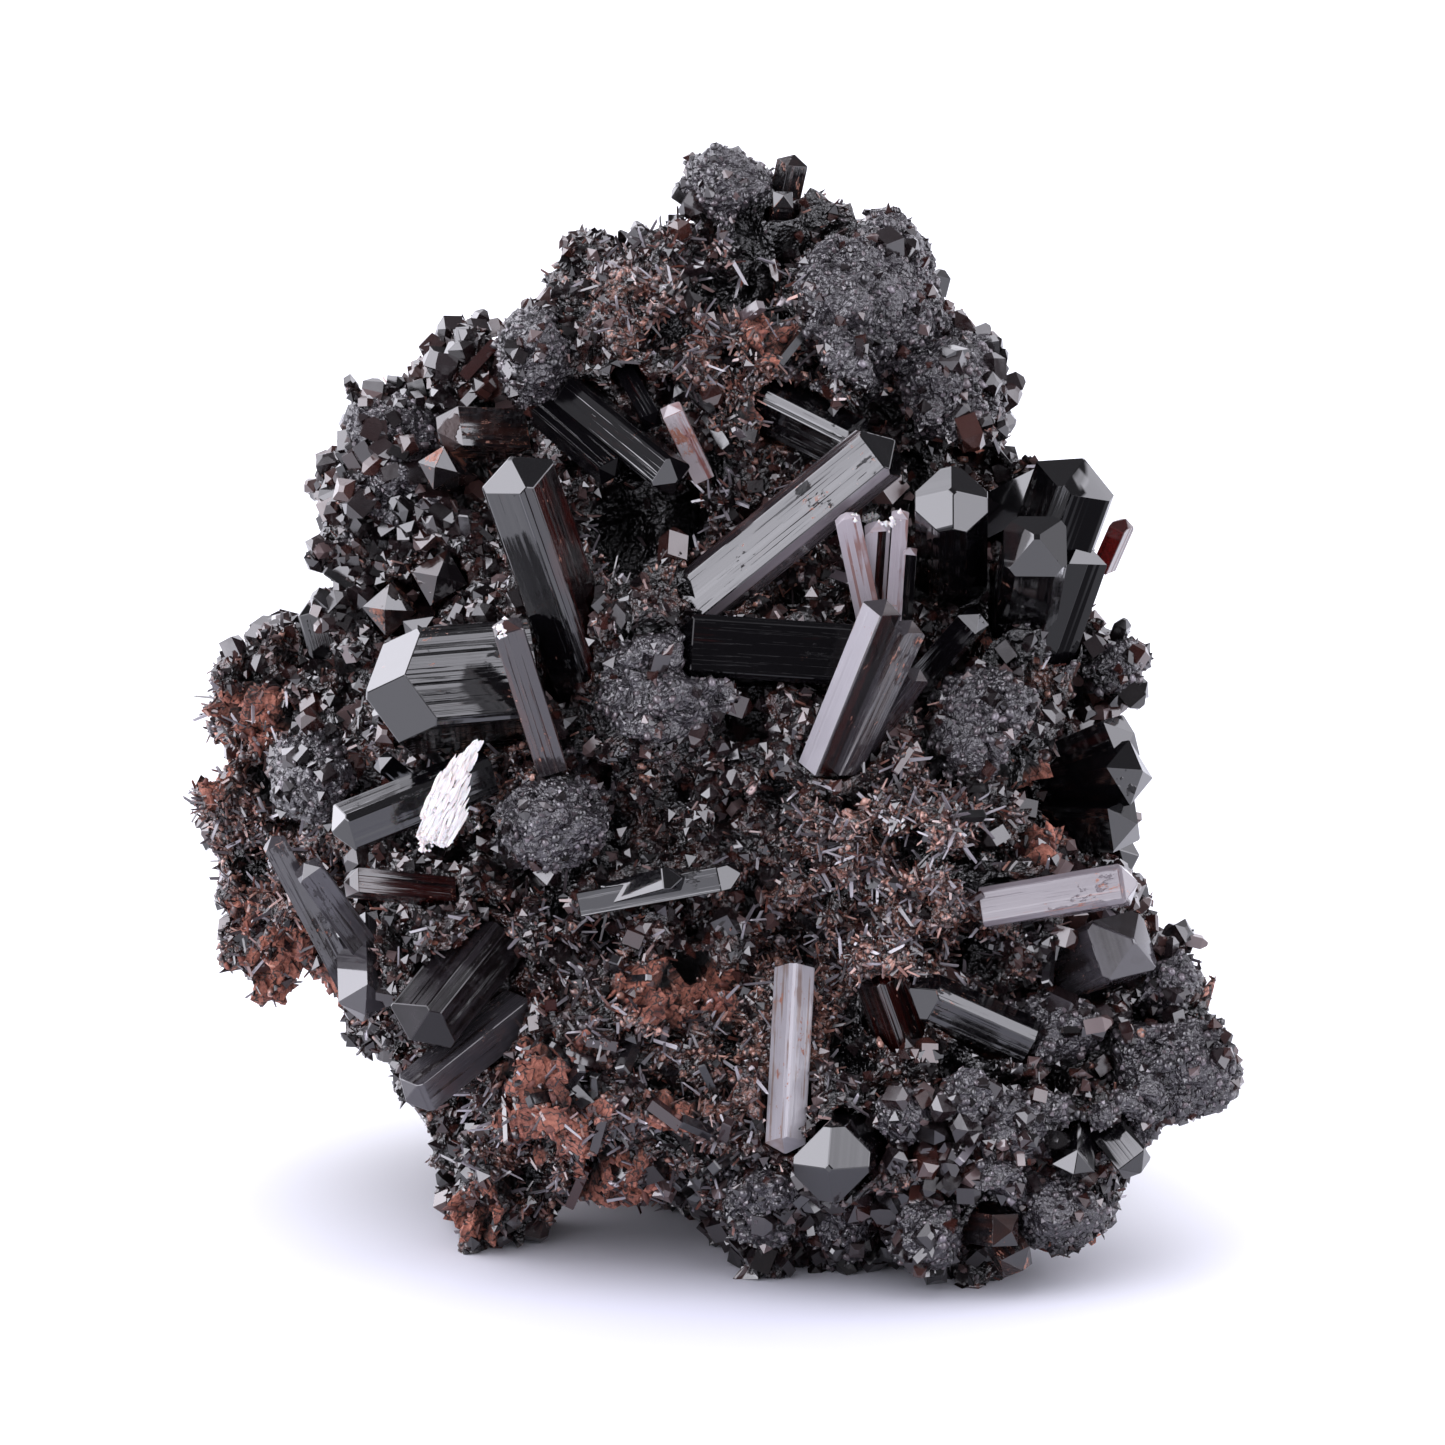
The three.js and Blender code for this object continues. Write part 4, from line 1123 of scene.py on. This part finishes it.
def scatter_piece(name, shape, where, density, lengths, widths, lean, seed, finish):
    """Runs the scatter tree on the rock's skin and keeps the result as a plain mesh."""
    carrier = linked(name + "_carrier", skin)
    modifier = carrier.modifiers.new("scatter", "NODES")
    modifier.node_group = scatter
    values = {
        "Shape": shape,
        "Where": where,
        "Density": density / MM**2,
        "Shortest": lengths[0] * MM,
        "Longest": lengths[1] * MM,
        "Thinnest": widths[0] * MM,
        "Thickest": widths[1] * MM,
        "Lean": lean,
        "Seed": seed,
        "Finish": finish,
    }
    for item in scatter.interface.items_tree:
        if item.in_out == "INPUT" and item.name in values:
            modifier[item.identifier] = values[item.name]
    made = evaluated(carrier)
    carrier.modifiers.clear()
    bpy.data.objects.remove(carrier)
    made.name = name
    move_vertices(made, vertex_vectors(made.vertices, "co"))
    print(name, "triangles:", sum(len(p.vertices) - 2 for p in made.polygons))
    keep(made, name, "vesuvianite")


for row in SCATTERS:
    scatter_piece(*row)
for shape in shapes:
    bpy.data.objects.remove(shape)

# %% [markdown]
# ## Calcite
#
# The white splinter is calcite that has split along its length, so it is a sheaf of thin blades
# that end unevenly. A few crumbs of the same white sit on the crystals. Calcite lets some light
# in, which softens its shadows.

# %% Calcite finish
calcite, tree, shader = new_material("calcite_fibrous")
grain = add(tree, ATTRIBUTE, attribute_name="grain").outputs["Vector"]
along = add(tree, VECTOR_MATH, {0: grain, 1: (9, 0.5, 9)}, operation="MULTIPLY")
fibres = add(tree, NOISE, {"Vector": along, "Scale": 1, "Detail": 4})
tint = ramp(tree, fibres, 0.35, 0.65, "#d9c9c6", "#fcf8f8")
bump = add(tree, BUMP, {"Height": fibres, "Strength": 0.6, "Distance": 0.05 * MM})
milky = {"Subsurface Weight": 0.2, "Subsurface Scale": 0.3 * MM}
looks = {"Base Color": tint, "Normal": bump, "Roughness": 0.5, "IOR": 1.6, **milky}
set_inputs(tree, shader, looks)

# %% [markdown]
# The splinter is built like thatch: short blades overlap from its foot to its bent top, over a
# core of lumps. Both follow one curved spine.

# %% Blades and lumps


def blade(bm, layer, foot, end, width, thickness, facing):
    """A thin flat blade with a ragged point, from foot to end."""
    along = (end - foot).normalized()
    side = along.cross(facing).normalized()
    out = side.cross(along)
    reach = (end - foot).length
    rings = []
    for share, scale in ((0, 0.7), (0.25, 1), (0.7, 0.9), (0.9, 0.5), (1, 0.12)):
        centre = foot + along * reach * share
        ring = []
        for x, y in ((-1, -0.5), (1, -0.5), (1, 0.5), (-1, 0.5)):
            aside = side * x * width * scale / 2
            ring.append(bm.verts.new(centre + aside + out * y * thickness * scale))
        rings.append(ring)
    faces = [rings[0][::-1], rings[-1]]
    for low, high in zip(rings, rings[1:]):
        faces += [(low[i], low[(i + 1) % 4], high[(i + 1) % 4], high[i]) for i in range(4)]
    for corners in faces:
        for loop in bm.faces.new(corners).loops:
            co = loop.vert.co
            loop[layer] = (co.dot(side) / MM, co.dot(along) / MM, 0)


def crumb(bm, layer, centre, size, chance):
    """A small uneven lump with eight faces."""
    for face in octahedron(bm, chance, 0.2, (0.35, 0.6), centre, size):
        for loop in face.loops:
            loop[layer] = (loop.vert.co.x / MM, loop.vert.co.z / MM, 0)


def calcite_mesh(bm, name):
    """The finished mesh of a piece of calcite."""
    bmesh.ops.recalc_face_normals(bm, faces=bm.faces)
    mesh = to_mesh(bm, name)
    mesh.materials.append(calcite)
    return mesh


# %% [markdown]
# The spine gives the splinter's middle and half its width, from the foot up. Places are drawn on
# it at random, with a fixed seed.

# %% Splinter
# (across, up, toward, half width) in mm, at equal steps of height.
SPINE = (
    (-12.4, 19.1, 6.6, 0.8),
    (-12.2, 20.2, 6.8, 0.8),
    (-11.85, 21.2, 6.9, 0.68),
    (-11.4, 22.1, 6.8, 0.5),
    (-10.8, 23.0, 6.6, 0.24),
    (-10.35, 23.6, 6.4, 0.08),
)
BLADES, LUMPS = 360, 240


def on_spine(height, aside):
    """A place on the splinter: height from 0 at its foot to 1 at its top, aside from -1 to 1."""
    step = min(int(height * 5), 4)
    share = height * 5 - step
    low, high = (np.array(SPINE[i]) for i in (step, step + 1))
    across, up, toward, half = low + (high - low) * share
    bulge = 0.35 * half * (1 - aside**2)
    return place(across + aside * half, up - 0.25 * aside * half, toward + bulge)


def calcite_splinter():
    """A crumbly sheaf of short fibres that overlap like thatch, on a core of lumps."""
    bm = bmesh.new()
    layer = bm.loops.layers.float_vector.new("grain")
    chance = random.Random(8)
    origin = place(0, 0, 0)
    facing = place(0, 0, 1) - origin
    for _ in range(BLADES):
        upward = place(0.45 + chance.uniform(-0.14, 0.14), 0.9, 0) - origin
        height, aside = chance.uniform(0, 0.95), chance.uniform(-1, 1)
        foot = on_spine(height, aside) + facing * chance.uniform(-0.25, 0.15)
        reach = chance.uniform(0.4, 1.3) * (1.08 - height) + 0.2
        end = foot + (upward + facing * chance.uniform(-0.12, 0.16)) * reach
        width, thickness = chance.uniform(0.08, 0.22) * MM, chance.uniform(0.05, 0.12) * MM
        blade(bm, layer, foot, end, width, thickness, facing)
    for _ in range(LUMPS):
        centre = on_spine(chance.uniform(0, 0.85) ** 1.3, chance.uniform(-0.85, 0.85))
        crumb(bm, layer, centre - facing * 0.12, chance.uniform(0.2, 0.5) * MM, chance)
    print("splinter, faces:", len(bm.faces))
    return calcite_mesh(bm, "calcite_splinter_fibres")


keep(calcite_splinter(), "calcite_splinter_fibres", "calcite", "calcite_splinter")

# %% [markdown]
# Crumbs of calcite lie on the tips of some crystals. They are dropped onto the specimen along the
# view, inside small ellipses given as (across, up, half width, half height, how many).

# %% Calcite crumbs
CRUMBS = (
    (7.5, 33.8, 0.9, 0.25, 46),
    (8.2, 33.5, 0.5, 0.35, 20),
    (-9.45, 28.6, 0.25, 0.4, 16),
    (-12.9, 19.0, 0.9, 0.3, 18),
    (-10.6, 19.6, 0.5, 0.4, 8),
    (8.9, 19.9, 0.7, 0.5, 10),
)
IN_FRONT = 40  # mm toward the eye, where the rays start


def calcite_crumbs():
    """Small white lumps where rays along the view meet the crystals or the rock."""
    bm = bmesh.new()
    layer = bm.loops.layers.float_vector.new("grain")
    chance = random.Random(12)
    away = (place(0, 0, -1) - place(0, 0, 0)).normalized()
    corners = [v.co for v in skin.vertices]
    stone = BVHTree.FromPolygons(corners, [p.vertices for p in skin.polygons])
    trees = (crystal_tree(), stone)
    for across, up, half_width, half_height, count in CRUMBS:
        for _ in range(count):
            aside, above = chance.gauss(0, half_width / 2), chance.gauss(0, half_height / 2)
            start = place(across + aside, up + above, IN_FRONT)
            hits = [tree.ray_cast(start, away) for tree in trees]
            hits = [hit for hit in hits if hit[0]]
            if hits:
                centre = min(hits, key=lambda hit: hit[3])[0]
                crumb(bm, layer, centre, chance.uniform(0.1, 0.36) * MM, chance)
    print("crumbs, faces:", len(bm.faces))
    return calcite_mesh(bm, "calcite_crumbs")


keep(calcite_crumbs(), "calcite_crumbs", "calcite")

# %% [markdown]
# ## Studio
#
# The table is a white sweep, bright enough to be pure white but for the soft shadow at the foot of
# the specimen. The paper is a little greyer in front of the specimen, where less light reaches it
# in the photograph.

# %% Floor
HALF_TABLE = 3  # metres
FRONT = (0, -30 * MM, 0)
corners = [(x * HALF_TABLE, y * HALF_TABLE, 0) for x, y in ((-1, -1), (1, -1), (1, 1), (-1, 1))]
floor_mesh = bpy.data.meshes.new("table")
floor_mesh.from_pydata(corners, [], [(0, 1, 2, 3)])
floor = linked("table", floor_mesh)
white, tree, shader = new_material("white_paper")
at = add(tree, COORDINATES).outputs["Object"]
from_front = add(tree, VECTOR_MATH, {0: at, 1: FRONT}, operation="DISTANCE").outputs["Value"]
paper = ramp(tree, from_front, 6 * MM, 40 * MM, "#dcdce8", "#f2f2f6")
set_inputs(tree, shader, {"Base Color": paper, "Roughness": 0.9, "Specular IOR Level": 0.1})
floor_mesh.materials.append(white)

# %% [markdown]
# Black glass shows only what it mirrors, so the studio is painted where the crystals look at it: a
# wide soft box with a brighter core from the front left round to the back left, a narrower one at
# the right with a small one above it, and the lit sweep behind, which ends 37 degrees up. The side
# of the camera and the ceiling stay dark, which keeps the other faces black. A direction is given
# by its azimuth, from the camera toward the right, and its elevation, in degrees.

# %% Directions
world = bpy.data.worlds.new("studio")
world.use_nodes = True
bpy.context.scene.world = world
tree = world.node_tree
tree.nodes.clear()
direction = add(tree, COORDINATES).outputs["Generated"]
split = add(tree, "ShaderNodeSeparateXYZ", {0: direction}).outputs
forward = add(tree, MATH, {0: split["Y"], 1: -1.0}, operation="MULTIPLY")
turn = add(tree, MATH, {0: split["X"], 1: forward}, operation="ARCTAN2")
azimuth = add(tree, MATH, {0: turn}, operation="DEGREES")
height = add(tree, MATH, {0: split["Z"]}, operation="ARCSINE")
elevation = add(tree, MATH, {0: height}, operation="DEGREES")


def soft_box(low, high, bottom, top, edge=3.0, turned=azimuth):
    """1 between these azimuths and elevations and 0 elsewhere, with soft edges."""
    share = 1.0
    for value, first, last in ((turned, low, high), (elevation, bottom, top)):
        rising = add(tree, RANGE, {0: value, 1: first - edge, 2: first + edge})
        falling = add(tree, RANGE, {0: value, 1: last - edge, 2: last + edge, 3: 1, 4: 0})
        window = add(tree, MATH, {0: rising, 1: falling}, operation="MULTIPLY")
        share = add(tree, MATH, {0: window, 1: share}, operation="MULTIPLY")
    return share


# %% [markdown]
# Glossy rays see the soft boxes. All other rays see a broad, even light, mostly from above and
# behind, and the camera sees plain white.

# %% World
left = soft_box(-143, -19, -8, 58)
left_core = soft_box(-104, -30, -14, 48, 10)
right = soft_box(38, 103, -6, 48)
right_top = soft_box(24, 72, 46, 60, 4.0)
either_side = add(tree, MATH, {0: azimuth}, operation="ABSOLUTE")
sweep = soft_box(114, 190, -20, 37, 5.0, either_side)
boxes = ((left, 4.0), (left_core, 2.6), (right, 4.4), (right_top, 3.4), (sweep, 1.7))
mirrored = weigh(tree, *boxes, start=0.2)
behind = soft_box(100, 190, -20, 66, 12.0, either_side)
overhead = soft_box(-400, 400, 58, 100, 8.0)
lamps = ((left, 0.6), (right, 0.55), (behind, 1.3), (overhead, 1.15))
lighting = weigh(tree, *lamps, start=1.02)
path = add(tree, "ShaderNodeLightPath").outputs
gloss, ambient, plain = (
    add(tree, "ShaderNodeBackground", {"Color": linear(colour), "Strength": strength})
    for colour, strength in (("#f6f5ff", mirrored), ("#f5f5fe", lighting), ("#ffffff", 1.0))
)
lit = add(tree, "ShaderNodeMixShader", {0: path["Is Glossy Ray"], 1: ambient, 2: gloss})
shown = add(tree, "ShaderNodeMixShader", {0: path["Is Camera Ray"], 1: lit, 2: plain})
add(tree, "ShaderNodeOutputWorld", {"Surface": shown})
bpy.context.scene.view_settings.view_transform = "Standard"
print("world, nodes:", len(tree.nodes))
